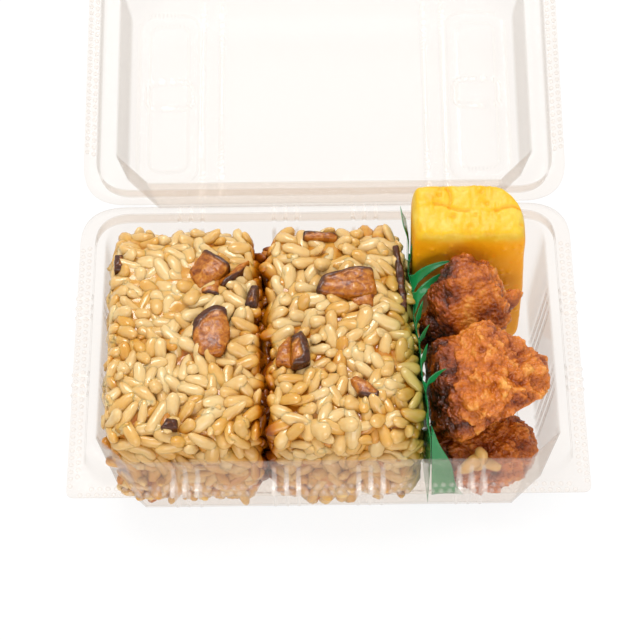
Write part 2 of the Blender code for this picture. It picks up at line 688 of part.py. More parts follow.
def make_divider(collection):
    """
    The divider: a film that stands on its edge from front to back, cut above the root into a row
    of pointed blades that curl over to the right.
    """
    total = sum(blade[0] for blade in DIVIDER_BLADES)
    scale = (DIVIDER_Y[1] - DIVIDER_Y[0]) / total
    places = [DIVIDER_Y[0]]
    for blade in DIVIDER_BLADES:
        half = blade[0] * scale / 2
        places += [places[-1] + half, places[-1] + 2 * half]
    bm = bmesh.new()
    rows = []
    for step in range(DIVIDER_ROWS + 1):
        z = blend(DIVIDER_FOOT_Z, DIVIDER_ROOT_Z, step / DIVIDER_ROWS)
        rows.append([bm.verts.new((divider_x(y), y, z)) for y in places])
    for low, high in zip(rows, rows[1:]):
        for i in range(len(places) - 1):
            bm.faces.new((low[i], low[i + 1], high[i + 1], high[i]))
    for index, (width, reach, height, lean) in enumerate(DIVIDER_BLADES):
        root = rows[-1][2 * index:2 * index + 3]
        blade_rows(bm, root, places[2 * index + 1], width * scale / 2, reach * MM, height * MM,
                   lean * MM)
    divider = add_object("divider", mesh_from_bmesh("divider", bm), "green_film", collection)
    solidify = divider.modifiers.new("film", "SOLIDIFY")
    solidify.thickness = DIVIDER_THICKNESS
    solidify.offset = 0.0
    return divider


def build():
    """Clears the scene and makes every piece."""
    for obj in list(bpy.data.objects):
        bpy.data.objects.remove(obj)
    collection = bpy.data.collections.new("bento_box_meal")
    bpy.context.scene.collection.children.link(collection)
    make_tray(collection)
    make_lid(collection)
    for name in RICE_BLOCKS:
        make_rice(name, collection)
    for name in MUSHROOMS:
        make_mushroom(name, collection)
    make_omelette(collection)
    for name in CHICKEN:
        make_chicken(name, collection)
    make_divider(collection)
    for obj in collection.objects:
        obj.data.shade_smooth()
        obj.data.set_sharp_from_angle(angle=math.radians(35.0))


build()
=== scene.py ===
import math

import bpy
import numpy as np
from mathutils import Matrix


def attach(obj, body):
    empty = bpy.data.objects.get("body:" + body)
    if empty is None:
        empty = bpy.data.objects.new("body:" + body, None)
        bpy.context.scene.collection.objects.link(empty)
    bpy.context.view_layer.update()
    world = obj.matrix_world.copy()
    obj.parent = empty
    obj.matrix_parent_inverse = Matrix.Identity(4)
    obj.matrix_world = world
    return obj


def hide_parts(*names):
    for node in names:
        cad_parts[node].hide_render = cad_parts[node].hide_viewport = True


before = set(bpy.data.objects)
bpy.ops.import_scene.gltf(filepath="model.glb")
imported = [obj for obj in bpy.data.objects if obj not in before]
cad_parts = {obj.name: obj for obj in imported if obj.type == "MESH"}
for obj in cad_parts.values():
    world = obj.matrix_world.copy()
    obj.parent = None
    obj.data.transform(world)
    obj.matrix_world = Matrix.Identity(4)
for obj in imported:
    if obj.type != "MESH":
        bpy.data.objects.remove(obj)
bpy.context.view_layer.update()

# Studio: a white light table with a large overhead softbox, as for catalogue food pictures. The
# camera stands in front, 55 degrees above the table, with a long lens.
scene = bpy.context.scene
scene.view_settings.view_transform = "Standard"
scene.cycles.max_bounces = 16
scene.cycles.transparent_max_bounces = 40


def linear(code, share=1.0):
    """A colour from six sRGB hex digits, in linear light, times a share, with alpha 1."""
    value = np.array([int(code[i:i + 2], 16) for i in (0, 2, 4)]) / 255.0
    value = np.where(value <= 0.04045, value / 12.92, ((value + 0.055) / 1.055) ** 2.4)
    return (*(value * share).tolist(), 1.0)


def add_node(tree, kind, inputs, stops=(), **settings):
    """
    Adds a shader node with its settings. Inputs go by identifier: an output socket is linked, and
    anything else is the socket's value. Stops are a colour ramp's places with their colours.
    """
    made = tree.nodes.new("ShaderNode" + kind)
    for name, value in settings.items():
        setattr(made, name, value)
    for index, (place, colour) in enumerate(stops):
        if index >= len(made.color_ramp.elements):
            made.color_ramp.elements.new(place)
        made.color_ramp.elements[index].position = place
        made.color_ramp.elements[index].color = colour
    sockets = {socket.identifier: socket for socket in made.inputs}
    for name, value in inputs.items():
        if isinstance(value, bpy.types.NodeSocket):
            tree.links.new(value, sockets[name])
        else:
            sockets[name].default_value = value
    return made


def add_object(name, data):
    """Links new data to the scene as an object at the origin."""
    made = bpy.data.objects.new(name, data)
    scene.collection.objects.link(made)
    return made


def new_finish(name, sockets):
    """A material with values on its shader's own sockets. Gives it, its node tree and its shader."""
    made = bpy.data.materials.new(name)
    made.use_nodes = True
    shader = made.node_tree.nodes["Principled BSDF"]
    for socket, value in sockets.items():
        shader.inputs[socket].default_value = value
    return made, made.node_tree, shader


def add_panel(name, width, depth, watts, place, tilt, roll=0.0):
    """A flat studio light at a place, tilted about X and rolled about Y, in degrees."""
    data = bpy.data.lights.new(name, "AREA")
    data.shape = "RECTANGLE"
    data.size, data.size_y, data.energy = width, depth, watts
    add_object(name, data).matrix_world = (Matrix.Translation(place)
                                           @ Matrix.Rotation(math.radians(tilt), 4, "X")
                                           @ Matrix.Rotation(math.radians(roll), 4, "Y"))


camera_data = bpy.data.cameras.new("camera")
camera_data.lens = 137.8
camera_data.sensor_width = 36.0
camera_data.clip_start = 0.01
camera = add_object("camera", camera_data)
camera.matrix_world = (Matrix.Translation((-0.00195, -0.4176, 0.6366))
                       @ Matrix.Rotation(math.radians(35), 4, "X")
                       @ Matrix.Rotation(math.radians(-0.69), 4, "Z"))
scene.camera = camera

world = bpy.data.worlds.new("pale studio room")
scene.world = world
world.use_nodes = True
world.node_tree.nodes["Background"].inputs["Color"].default_value = (1.0, 1.0, 1.0, 1.0)
world.node_tree.nodes["Background"].inputs["Strength"].default_value = 0.80

add_panel("overhead softbox", 0.5, 0.35, 7.0, (-0.12, 0.34, 0.95), -20, -7)
add_panel("front reflector", 0.7, 0.4, 3.0, (0.10, -0.75, 0.34), 66)

TABLE_REACH, TABLE_TOP = 3.0, -0.0004
table_mesh = bpy.data.meshes.new("light table")
table_mesh.from_pydata([(x * TABLE_REACH, y * TABLE_REACH, TABLE_TOP)
                        for x, y in ((-1, -1), (1, -1), (1, 1), (-1, 1))], [], [(0, 1, 2, 3)])
table = add_object("light table", table_mesh)
glow, _, _ = new_finish("white light table", {
    "Base Color": (0.12, 0.12, 0.12, 1.0), "Roughness": 1.0, "Specular IOR Level": 0.0,
    "Emission Color": (1.0, 1.0, 1.0, 1.0), "Emission Strength": 0.87})
table_mesh.materials.append(glow)

# Tray: one thermoformed sheet of clear plastic, 0.4 mm thick, with a flat flange, a raised bead
# that the lid clips over, and a sloping wall with groups of narrow ribs.
MM = 0.001
SHEET = 0.4
HALF_WIDTH, HALF_DEPTH = 76, 53
FLANGE, BEAD, FOOT = 27.5, 33.3, 0.9


def blend(low, high, share):
    """Values between low and high, by a share that is held from 0 to 1."""
    return low + (high - low) * np.clip(share, 0.0, 1.0)


def soft_step(low, high, value):
    """A smooth rise from 0 at low to 1 at high."""
    share = np.clip((value - low) / (high - low), 0.0, 1.0)
    return share * share * (3.0 - 2.0 * share)


def formed_profile(corners, radii, longest):
    """
    A section of the formed sheet as an array of (inset, height) points: straight runs
    between corners, cut so that none is over the longest step, with a curve of the given radius
    at each corner.
    """
    corners = np.array(corners, float)
    points = [corners[0]]
    for before, corner, after, radius in zip(corners, corners[1:], corners[2:], radii):
        back, ahead = before - corner, after - corner
        start = corner + back / np.hypot(*back) * radius
        end = corner + ahead / np.hypot(*ahead) * radius
        for t in np.linspace(0.0, 1.0, 6):
            points.append(start * (1 - t) ** 2 + corner * 2 * t * (1 - t) + end * t * t)
    points.append(corners[-1])
    rows = [points[0]]
    for low, high in zip(points, points[1:]):
        steps = max(int(np.ceil(np.hypot(*(high - low)) / longest)), 1)
        rows += [low + (high - low) * (step + 1) / steps for step in range(steps)]
    return np.array(rows)


def rib_stations(reach, ribs, width):
    """Places along a side from -reach to reach: an even row, and seven across each rib."""
    close = np.add.outer(np.array(ribs), np.linspace(-0.5, 0.5, 7) * width).ravel()
    even = np.arange(-reach, reach + 0.01, 2.0)
    far = np.abs(even[:, None] - close).min(axis=1) > 0.5
    return np.sort(np.concatenate((even[far], close)))


def pack_rows(half_x, front, back, front_cut, back_cut, front_bulge, back_bulge, along_x, along_y):
    """
    Closed outlines of the pack from above, one for each row of the section: straight sides whose
    middle stations stay at fixed places, and corners that are a curve between the ends of two
    sides, drawn from a chamfer at bulge 0 to a round at bulge 1. Gives points in rows and columns,
    and each column's outward direction.
    """
    ends = np.linspace(0.0, 1.0, 8)[1:]
    column = [np.asarray(v, float)[:, None] for v in
              (half_x, front, back, front_cut, back_cut, front_bulge, back_bulge)]
    half_x, front, back, front_cut, back_cut, front_bulge, back_bulge = column

    def spread(low, high, fixed):
        near = np.flip(fixed[0] + (low - fixed[0]) * ends, axis=1)
        far = fixed[-1] + (high - fixed[-1]) * ends
        return np.hstack((near, np.broadcast_to(fixed, (len(low), len(fixed))), far))

    bottom = spread(front_cut - half_x, half_x - front_cut, along_x)
    right = spread(front + front_cut, back - back_cut, along_y)
    top = np.flip(spread(back_cut - half_x, half_x - back_cut, along_x), axis=1)
    left = np.flip(right, axis=1)
    sides = [np.stack((bottom, np.broadcast_to(front, bottom.shape)), -1),
             np.stack((np.broadcast_to(half_x, right.shape), right), -1),
             np.stack((top, np.broadcast_to(back, top.shape)), -1),
             np.stack((np.broadcast_to(-half_x, left.shape), left), -1)]
    sharp = [np.hstack((half_x, front)), np.hstack((half_x, back)),
             np.hstack((-half_x, back)), np.hstack((-half_x, front))]
    t = np.linspace(0.0, 1.0, 14)[1:-1][None, :, None]
    pieces, outward = [], []
    for index, side in enumerate(sides):
        start, end = side[:, -1], sides[(index + 1) % 4][:, 0]
        bulge = front_bulge if index in (0, 3) else back_bulge
        pull = (start + end) / 2 * (1 - bulge) + sharp[index] * bulge
        corner = (start[:, None] * (1 - t) ** 2 + pull[:, None] * 2 * t * (1 - t)
                  + end[:, None] * t * t)
        pieces += [side, corner]
        facing = np.array(((0, -1), (1, 0), (0, 1), (-1, 0))[index], float)
        outward += [np.tile(facing, (side.shape[1], 1)), np.zeros((corner.shape[1], 2))]
    return np.concatenate(pieces, axis=1), np.concatenate(outward)


def rib_lift(places, outward, height, ribs_x, ribs_y, low, high, width):
    """
    How far each point stands on a rib, from 0 to 1: a cosine hump across it, in a strip that
    narrows like a lens towards its lower and upper ends.
    """
    middle, half = (low + high) / 2, (high - low) / 2
    lens = np.sqrt(np.clip(1.0 - ((height - middle) / half) ** 2, 0.0, 1.0))[:, None, None]
    lift = np.zeros(places.shape[:2])
    for axis, ribs in ((0, ribs_x), (1, ribs_y)):
        away = np.abs(places[..., axis, None] - np.array(ribs)) / (width / 2)
        hump = np.cos(np.clip(away, 0.0, 1.0) * np.pi / 2) ** 2 * lens ** 0.6
        lift += hump.max(axis=2) * np.abs(outward[:, 1 - axis])
    return lift


def grid_faces(rows, columns):
    """Quads of a grid whose columns close on themselves."""
    index = np.arange(rows * columns).reshape(rows, columns)
    after = np.roll(index, -1, axis=1)
    return np.stack((index[:-1], after[:-1], after[1:], index[1:]), -1).reshape(-1, 4)


def make_piece(name, points, faces, body, slot, finish, *nodes):
    """A smooth mesh piece from points in mm. It rides on a body and replaces the given nodes."""
    mesh = bpy.data.meshes.new(name)
    mesh.from_pydata((np.asarray(points) * MM).tolist(), [],
                     faces if isinstance(faces, list) else faces.tolist())
    mesh.shade_smooth()
    mesh.materials.append(finish)
    made = add_object(name, mesh)
    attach(made, body)
    if nodes:
        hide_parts(*nodes)
    return made


def strip_faces(rows, columns):
    """Quads of a grid that is open on all sides."""
    index = np.arange(rows * columns).reshape(rows, columns)
    return np.stack((index[:-1, :-1], index[:-1, 1:], index[1:, 1:], index[1:, :-1]), -1).reshape(-1, 4)


def thicken(piece, thickness, offset):
    """Gives a sheet its real thickness, in mm."""
    sheet = piece.modifiers.new("sheet", "SOLIDIFY")
    sheet.thickness = thickness * MM
    sheet.offset = offset


def set_values(piece, name, values):
    """Stores a number for each point of a piece, for its material to read."""
    field = piece.data.attributes.new(name, "FLOAT", "POINT")
    field.data.foreach_set("value", np.asarray(values, dtype=np.float32))


def domes(centres, radius, height, sides=8):
    """Low round domes on the plane of their centres, each three rings under a top point."""
    angle = np.arange(sides) * 2 * np.pi / sides
    rise = np.array((0.0, 0.45, 0.8))
    ring = np.stack((np.outer(np.cos(rise * np.pi / 2), np.cos(angle)) * radius,
                     np.outer(np.cos(rise * np.pi / 2), np.sin(angle)) * radius,
                     np.repeat(np.sin(rise * np.pi / 2)[:, None], sides, 1) * height), -1)
    shape = np.vstack((ring.reshape(-1, 3), (0.0, 0.0, height)))
    points = (centres[:, None] + shape).reshape(-1, 3)
    around = np.arange(sides)
    after = (around + 1) % sides
    bands = [np.stack((around, after, after + sides, around + sides), -1) + sides * row
             for row in (0, 1)]
    top = np.stack((around + 2 * sides, after + 2 * sides, np.full(sides, 3 * sides)), -1)
    start = np.arange(len(centres))[:, None, None] * len(shape)
    quads = (np.vstack(bands) + start).reshape(-1, 4)
    triangles = (top + start).reshape(-1, 3)
    return points, quads.tolist() + triangles.tolist()


# Clear sheet: glossy polystyrene. Face on it all but disappears. Where it bends away from the eye
# it thickens to soft grey lines with white highlights. On the flanks of ribs, pressed lines and
# knurl dots it is made whiter and more solid. This is partly the stress whitening of the stretched
# sheet, and partly painted highlight lines, which stand in for the bright lines that light draws
# along the bends.
clear_sheet, tree, shell = new_finish("clear polystyrene sheet", {
    "Base Color": linear("ece7e2"), "IOR": 1.57, "Roughness": 0.08})
glance = add_node(tree, "LayerWeight", {"Blend": 0.5})
steep = add_node(tree, "Math", {"Value": glance.outputs["Facing"], "Value_001": 6.0},
                 operation="POWER")
tint = add_node(tree, "Mix", {"Factor_Float": steep.outputs["Value"], "A_Color": linear("fcfaf8"),
                              "B_Color": linear("d2ccc6")}, data_type="RGBA")
through = add_node(tree, "BsdfTransparent", {"Color": tint.outputs[2]})
whitening_and_glint = add_node(tree, "Attribute", {}, attribute_name="whitening_and_glint")
whitening_and_glint_mix = add_node(tree, "Math", {"Value": whitening_and_glint.outputs["Fac"], "Value_001": 0.42,
                                   "Value_002": steep.outputs["Value"]}, operation="MULTIPLY_ADD")
edge = add_node(tree, "MapRange", {"Value": whitening_and_glint_mix.outputs["Value"], "From Min": 0.0,
                                   "From Max": 1.0, "To Min": 0.03, "To Max": 0.6})
either = add_node(tree, "MixShader", {"Fac": edge.outputs["Result"],
                                      "Shader": through.outputs["BSDF"],
                                      "Shader_001": shell.outputs["BSDF"]})
tree.links.new(either.outputs["Shader"], tree.nodes["Material Output"].inputs["Surface"])

TRAY_RIBS_X = (-45.3, -41.8, -38.2, -15.9, -12.3, -8.8, 8.8, 12.3, 15.9, 38.2, 41.8, 45.3)
TRAY_RIBS_Y = (-17.6, -14.0, -10.4, 10.4, 14.0, 17.6)
RIB_WIDTH, RIB_HEIGHT, RIB_FOOT, RIB_TOP = 1.7, 0.6, 1.0, 30.0
FLANGE_WIDTH, RIM_WIDTH = 5.0, 8.2
along_x = rib_stations(50.0, TRAY_RIBS_X, RIB_WIDTH)
along_y = rib_stations(22.0, TRAY_RIBS_Y, RIB_WIDTH)
profile = formed_profile([(0, FLANGE), (FLANGE_WIDTH, FLANGE), (5.6, BEAD), (RIM_WIDTH, BEAD),
                          (12.2, 0), (17, 0), (17.6, 0.4), (21, 0.4)],
                         [0.7, 1.1, 1.0, 2.6, 0.4, 0.4], 2.4)
inset, height = profile.T
share = inset / RIM_WIDTH
hinge = np.maximum(inset + 1.6 * np.minimum(inset / FLANGE_WIDTH, 1.0), 0.4)
plan, outward = pack_rows(HALF_WIDTH - inset, inset - HALF_DEPTH, HALF_DEPTH - hinge,
                          blend(2.5, 9.0, share), blend(14.0, 9.0, share), 1 - np.clip(share, 0, 1),
                          np.ones(len(inset)), along_x, along_y)
lift = rib_lift(plan, outward, height, TRAY_RIBS_X, TRAY_RIBS_Y, RIB_FOOT, RIB_TOP, RIB_WIDTH)
plan = plan + outward * lift[..., None] * RIB_HEIGHT
tray_points = np.dstack((plan, np.broadcast_to(height[:, None], plan.shape[:2])))
rows, columns = tray_points.shape[:2]
tray_faces = grid_faces(rows, columns).tolist()
tray_faces.append(list(range((rows - 1) * columns, rows * columns)))
tray = make_piece("tray", tray_points.reshape(-1, 3), tray_faces, "tray", "clear_plastic",
                  clear_sheet, "tray")
# Rib flanks made whiter: partly stress whitening, partly painted highlight lines along the bends.
set_values(tray, "whitening_and_glint", (4 * lift * (1 - lift)).ravel())
thicken(tray, SHEET, 1.0)


# Knurl of the tray's flange: two rows of small pressed dots in the same sheet, which stop packs
# sticking to each other in a stack.
KNURL_PITCH, KNURL_RADIUS, KNURL_HEIGHT, KNURL_WHITENING_AND_GLINT = 2.43, 0.8, 0.6, 0.6
KNURL_ROWS, FRONT_CUT, BACK_CUT = (1.0, 3.0), 3.0, 14.0


def flange_dots(front, back):
    """Staggered rows of dots along a flange's front and sides, held off its corners."""
    dots = []
    for row, inset in enumerate(KNURL_ROWS):
        shift = KNURL_PITCH / 2 * (row % 2)
        reach = HALF_WIDTH - FRONT_CUT - inset
        x = np.arange(-reach, reach, KNURL_PITCH) + shift
        dots.append(np.stack((x, np.full(len(x), front + inset)), -1))
        y = np.arange(front + FRONT_CUT + inset, back - BACK_CUT - inset, KNURL_PITCH) + shift
        for side in (-1, 1):
            dots.append(np.stack((np.full(len(y), side * (HALF_WIDTH - inset)), y), -1))
    return np.vstack(dots)


dots = flange_dots(-HALF_DEPTH, HALF_DEPTH)
points, faces = domes(np.column_stack((dots, np.full(len(dots), FLANGE))), KNURL_RADIUS, KNURL_HEIGHT)
knurl = make_piece("tray_knurl", points, faces, "tray", "clear_plastic", clear_sheet)
# The dots are made whiter all over: partly stress whitening, partly painted glints.
set_values(knurl, "whitening_and_glint", np.full(len(points), KNURL_WHITENING_AND_GLINT))

# Rice: two pressed blocks of sticky rice, simmered with soy. Each is hundreds of whole grains,
# plump and squashed together, over the amber glaze of its core.
RICE_FRONT, RICE_BACK, RICE_TOP = -39.4, 35.2, 39.6


def cube_shell(nx, ny, nz):
    """The faces of a cube from -1 to 1, each a grid, with the shared edges welded."""
    patches, quads, start = [], [], 0
    counts = (nx, ny, nz)
    for axis, (first, second) in enumerate(((1, 2), (2, 0), (0, 1))):
        for side in (-1.0, 1.0):
            u = np.linspace(-1, 1, counts[first] + 1)
            v = np.linspace(-1, 1, counts[second] + 1)
            patch = np.empty((len(u), len(v), 3))
            patch[..., axis] = side
            patch[..., first] = u[:, None]
            patch[..., second] = v[None, :]
            index = start + np.arange(len(u) * len(v)).reshape(len(u), len(v))
            quad = np.stack((index[:-1, :-1], index[1:, :-1], index[1:, 1:], index[:-1, 1:]), -1)
            quads.append(quad.reshape(-1, 4)[:, ::int(side)])
            patches.append(patch.reshape(-1, 3))
            start += len(u) * len(v)
    points = np.concatenate(patches)
    _, first, inverse = np.unique(np.round(points * 1e5), axis=0, return_index=True,
                                  return_inverse=True)
    return points[first], inverse.ravel()[np.concatenate(quads)]


def lattice(cell, seed):
    """A repeatable random value from 0 to 1 for each whole-number cell."""
    key = (cell[..., 0] * 73856093) ^ (cell[..., 1] * 19349663) ^ (cell[..., 2] * 83492791)
    key = (key ^ (seed * 2654435761)) & 0xFFFFFFFF
    key = ((key ^ (key >> 15)) * 2246822519) & 0xFFFFFFFF
    key = ((key ^ (key >> 13)) * 3266489917) & 0xFFFFFFFF
    return (key ^ (key >> 16)) / 4294967296.0


def lumps(points, size, seed):
    """Smooth relief from -1 to 1: lattice values a size apart, blended between their cells."""
    place = np.asarray(points) / size
    cell = np.floor(place).astype(np.int64)
    t = place - cell
    t = t * t * (3 - 2 * t)
    total = np.zeros(len(place))
    for corner in np.ndindex(2, 2, 2):
        offset = np.array(corner)
        weight = np.prod(np.where(offset, t, 1 - t), axis=1)
        total += weight * lattice(cell + offset, seed)
    return total * 2 - 1


def pits(points, size, seed):
    """Distance to the nearest of scattered points, one in each cell, in sizes."""
    place = np.asarray(points) / size
    cell = np.floor(place).astype(np.int64)
    nearest = np.full(len(place), 9.0)
    for corner in np.ndindex(3, 3, 3):
        near = cell + np.array(corner) - 1
        spot = near + np.stack([lattice(near, seed + 7 * k) for k in range(3)], -1)
        nearest = np.minimum(nearest, np.linalg.norm(place - spot, axis=1))
    return nearest


def rounded_box(points, plan, edge):
    """Cube points moved onto a rounded box, by a power mean for its outline and one for its edges."""
    outline = (np.abs(points[:, 0]) ** plan + np.abs(points[:, 1]) ** plan) ** (edge / plan)
    return points / ((outline + np.abs(points[:, 2]) ** edge) ** (1 / edge))[:, None]


def seam_line(y):
    """Where the two blocks meet, from left to right."""
    return blend(-17.8, -19.7, (y - RICE_FRONT) / (RICE_BACK - RICE_FRONT))


def rice_surface(cube, block):
    """Points of a block's core for points on the cube, between four sloping faces."""
    share = rounded_box(cube, 7.0, 9.0)
    along, up = (share[:, 1] + 1) / 2, (share[:, 2] + 1) / 2
    left = blend(block["front"][0], block["back"][0], along) - block["flare"][0] * up
    right = blend(block["front"][1], block["back"][1], along) + block["flare"][1] * up
    x = (left + right) / 2 + share[:, 0] * (right - left) / 2
    y = (RICE_BACK + RICE_FRONT) / 2 + share[:, 1] * (RICE_BACK - RICE_FRONT) / 2
    swell = 0.7 * np.sin(x / 7.1 + 0.6) * np.sin(y / 9.3 + 0.4)
    swell -= 3.6 * np.exp(-((x - seam_line(y)) / 3.2) ** 2)
    z = (RICE_TOP + FOOT) / 2 + share[:, 2] * (RICE_TOP - FOOT) / 2
    points = np.stack((x, y, z + swell * np.clip(share[:, 2], 0, 1)), -1)
    uneven = lumps(points, 7.5, block["side"] + 50)
    return points + np.column_stack((1.6 * np.minimum(uneven, 0), 1.6 * np.minimum(uneven, 0),
                                     1.3 * uneven * (share[:, 2] > 0))) * share ** 5


def rice_frame(cube, block):
    """Surface points with their outward normals and one tangent, by small steps on the cube."""
    here = rice_surface(cube, block)
    axis = np.abs(cube).argmax(axis=1)
    row = np.arange(len(cube))
    one, two = np.zeros_like(cube), np.zeros_like(cube)
    one[row, (axis + 1) % 3] = 0.02
    two[row, (axis + 2) % 3] = 0.02
    tangent = rice_surface(cube + one, block) - here
    second = rice_surface(cube + two, block) - here
    normal = np.cross(tangent, second) * np.sign(cube[row, axis])[:, None]
    tangent /= np.linalg.norm(tangent, axis=1, keepdims=True)
    return here, normal / np.linalg.norm(normal, axis=1, keepdims=True), tangent


def pack_grains(block, seed, layers):
    """
    Where grains lie on a block: darts thrown at its faces, layer by layer from the outside. A dart
    holds when no held grain's long ellipse reaches it. Neighbours share a slowly turning direction.
    """
    draw = np.random.default_rng(seed)
    held = np.zeros((0, 3))
    axes = np.zeros((0, 3))
    normals = np.zeros((0, 3))
    layer_of = []
    for layer, (depth, spread, tries, length, width) in enumerate(layers):
        face = draw.choice(5, tries, p=(0.34, 0.18, 0.24, 0.14, 0.10))
        cube = draw.uniform(-1, 1, (tries, 3))
        for index, (axis, side) in enumerate(((2, 1), (1, -1), (0, block["side"]), (1, 1),
                                              (0, -block["side"]))):
            cube[face == index, axis] = side
        here, normal, tangent = rice_frame(cube, block)
        here = here - normal * (depth + draw.uniform(-spread, spread, (tries, 1)))
        flow = 2.6 * lumps(here, 17.0, seed) + draw.normal(0, 0.55, tries)
        other = np.cross(normal, tangent)
        tilt = draw.normal(0, 0.46, tries)[:, None]
        axis = tangent * np.cos(flow)[:, None] + other * np.sin(flow)[:, None] + normal * tilt
        axis /= np.linalg.norm(axis, axis=1, keepdims=True)
        for point, direction, up in zip(here, axis, normal):
            if point[2] < FOOT + 2.0:
                continue
            gap = held - point
            away = np.einsum("ij,ij->i", gap, gap)
            near = away < length * length
            if near.any():
                gap, away, own = gap[near], away[near], axes[near]
                along = np.minimum(np.abs(gap @ direction), 9)
                theirs = np.abs(np.einsum("ij,ij->i", gap, own))
                run = (along ** 2 + theirs ** 2) / 2
                if (run / length ** 2 + np.maximum(away - run, 0) / width ** 2 < 1).any():
                    continue
            held = np.vstack((held, point))
            axes = np.vstack((axes, direction))
            normals = np.vstack((normals, up))
            layer_of.append(layer)
    return held, axes, normals, np.array(layer_of), draw


def grain_shapes(centres, axes, normals, draw, around=8, along=7):
    """
    Whole grains as closed tubes: a power ellipse that runs out to blunt points, with an oval, dented
    section, bent a little, each of its own size. Gives points and faces.
    """
    count = len(centres)
    v = np.sin(np.linspace(-1, 1, along + 2)[1:-1] * np.pi / 2 * 0.97)
    width = (1 - np.abs(v) ** 3.2) ** 0.54
    angle = np.arange(around) * 2 * np.pi / around
    length = draw.normal(4.5, 0.55, (count, 1, 1))
    thick = draw.normal(2.2, 0.24, (count, 1, 1))
    oval = draw.uniform(0.60, 0.92, (count, 1, 1))
    taper = draw.uniform(-0.24, 0.24, (count, 1, 1))
    bend = draw.normal(0, 0.40, (count, 1, 1))
    turn = draw.uniform(0, 2 * np.pi, (count, 1, 1))
    run = v[None, :, None]
    radius = thick * width[None, :, None] * (1 + taper * run)
    dent = 1 - 0.17 * np.cos(angle + turn) ** 2 * np.cos(run * 1.4)
    dent = dent + 0.07 * np.sin(3 * angle + 2 * turn + 2 * run)
    one = radius * np.cos(angle) * dent + bend * 0.6 * (run * run - 0.4)
    two = radius * np.sin(angle) * dent * oval + bend * (run * run - 0.4)
    lengthwise = np.broadcast_to(length * run, one.shape)
    local = np.stack((lengthwise, one, two), -1).reshape(count, -1, 3)
    tips = np.zeros((count, 2, 3))
    tips[:, 0, 0], tips[:, 1, 0] = -length[:, 0, 0] * 1.01, length[:, 0, 0] * 1.01
    tips[:, :, 1] = bend[:, :, 0] * 0.36
    tips[:, :, 2] = bend[:, :, 0] * 0.6
    local = np.concatenate((local, tips), axis=1)
    across = np.cross(normals, axes)
    across /= np.linalg.norm(across, axis=1, keepdims=True)
    up = np.cross(axes, across)
    roll = draw.uniform(-0.45, 0.45, count)[:, None]
    side = across * np.cos(roll) + up * np.sin(roll)
    lift = np.cross(axes, side)
    basis = np.stack((axes, side, lift), axis=1)
    points = centres[:, None] + local @ basis
    flat = points.reshape(-1, 3)
    flat += 0.22 * np.stack([lumps(flat, 1.6, seed) for seed in (61, 62, 63)], -1)
    first = np.arange(around)
    second = np.roll(first, -1)
    last, low, high = (along - 1) * around, along * around, along * around + 1
    caps = np.vstack((np.stack((second, first, np.full(around, low)), -1),
                      np.stack((first + last, second + last, np.full(around, high)), -1)))
    start = np.arange(count)[:, None, None] * (along * around + 2)
    quads = (grid_faces(along, around) + start).reshape(-1, 4)
    triangles = (caps + start).reshape(-1, 3)
    return points, quads.tolist() + triangles.tolist()


# Cooked rice finish: plump, wet and partly see-through, so light spreads inside it. The faces are
# cream, and the amber between the grains is soy glaze with painted shade. Each grain is painted
# lighter on its upper side and darker amber down its lower side, and the under layer darker.
moist_rice, tree, shader = new_finish("moist seasoned rice", {
    "Roughness": 0.17, "Subsurface Weight": 0.6, "Subsurface Radius": (1.0, 0.92, 0.78),
    "Subsurface Scale": 0.0009})
tone_and_shade = add_node(tree, "Attribute", {}, attribute_name="tone_and_shade")
place = add_node(tree, "TexCoord", {})
mottle = add_node(tree, "TexNoise", {"Vector": place.outputs["Object"], "Scale": 420.0, "Detail": 3.0})
shifted = add_node(tree, "Math", {"Value": mottle.outputs["Fac"], "Value_001": 0.24,
                                  "Value_002": -0.12}, operation="MULTIPLY_ADD")
level = add_node(tree, "Math", {"Value": tone_and_shade.outputs["Fac"], "Value_001": shifted.outputs["Value"]},
                 operation="ADD")


def dimmed(light, stops):
    """Stops of (place, six hex digits) as linear colours, dimmed to a share of their light."""
    return [(place, linear(colour, light)) for place, colour in stops]


grain = add_node(tree, "ValToRGB", {"Fac": level.outputs["Value"]}, dimmed(0.68, (
    (0.0, "4a1800"), (0.22, "9c4c04"), (0.45, "d57f0c"), (0.70, "f0b552"), (1.0, "fddb9b"))))
# Painted green bounce light: rice near the green divider film is tinted green. This stands in for light
# that the film reflects and lets through.
painted_green_bounce = add_node(tree, "Attribute", {}, attribute_name="green")
grain = add_node(tree, "Mix", {
    "Factor_Float": painted_green_bounce.outputs["Fac"], "A_Color": grain.outputs["Color"],
    "B_Color": linear("b3c43c")}, data_type="RGBA", blend_type="MULTIPLY")
tree.links.new(grain.outputs[2], shader.inputs["Base Color"])
fine = add_node(tree, "TexNoise", {"Vector": place.outputs["Object"], "Scale": 900.0, "Detail": 2.0})
relief = add_node(tree, "Bump", {"Height": fine.outputs["Fac"], "Strength": 0.25, "Distance": 0.0002})
tree.links.new(relief.outputs["Normal"], shader.inputs["Normal"])

# The four large mushroom pieces that no grain may cover, as x, y, length, width and turn.
MUSHROOM_SPOTS = [
    (-35.0, 17.2, 14.0, 12.0, -50.0), (-34.6, -4.4, 18.0, 11.0, 78.0), (6.3, 11.8, 18.0, 11.0, 8.0),
    (-9.8, -12.0, 12.5, 10.5, 78.0)]


def grain_gap(points, centres, axes, reach=2.3, radius=1.9):
    """Distance from each point to the nearest grain, taken as a round-ended rod."""
    gaps = []
    for part in np.array_split(points, len(points) // 1500 + 1):
        offset = part[:, None] - centres
        along = np.clip(np.einsum("ijk,jk->ij", offset, axes), -reach, reach)
        away = np.einsum("ijk,ijk->ij", offset, offset) - along ** 2
        past = np.einsum("ijk,jk->ij", offset, axes) - along
        gaps.append(np.sqrt(np.maximum(away - 2 * along * past, 0)).min(axis=1) - radius)
    return np.concatenate(gaps)


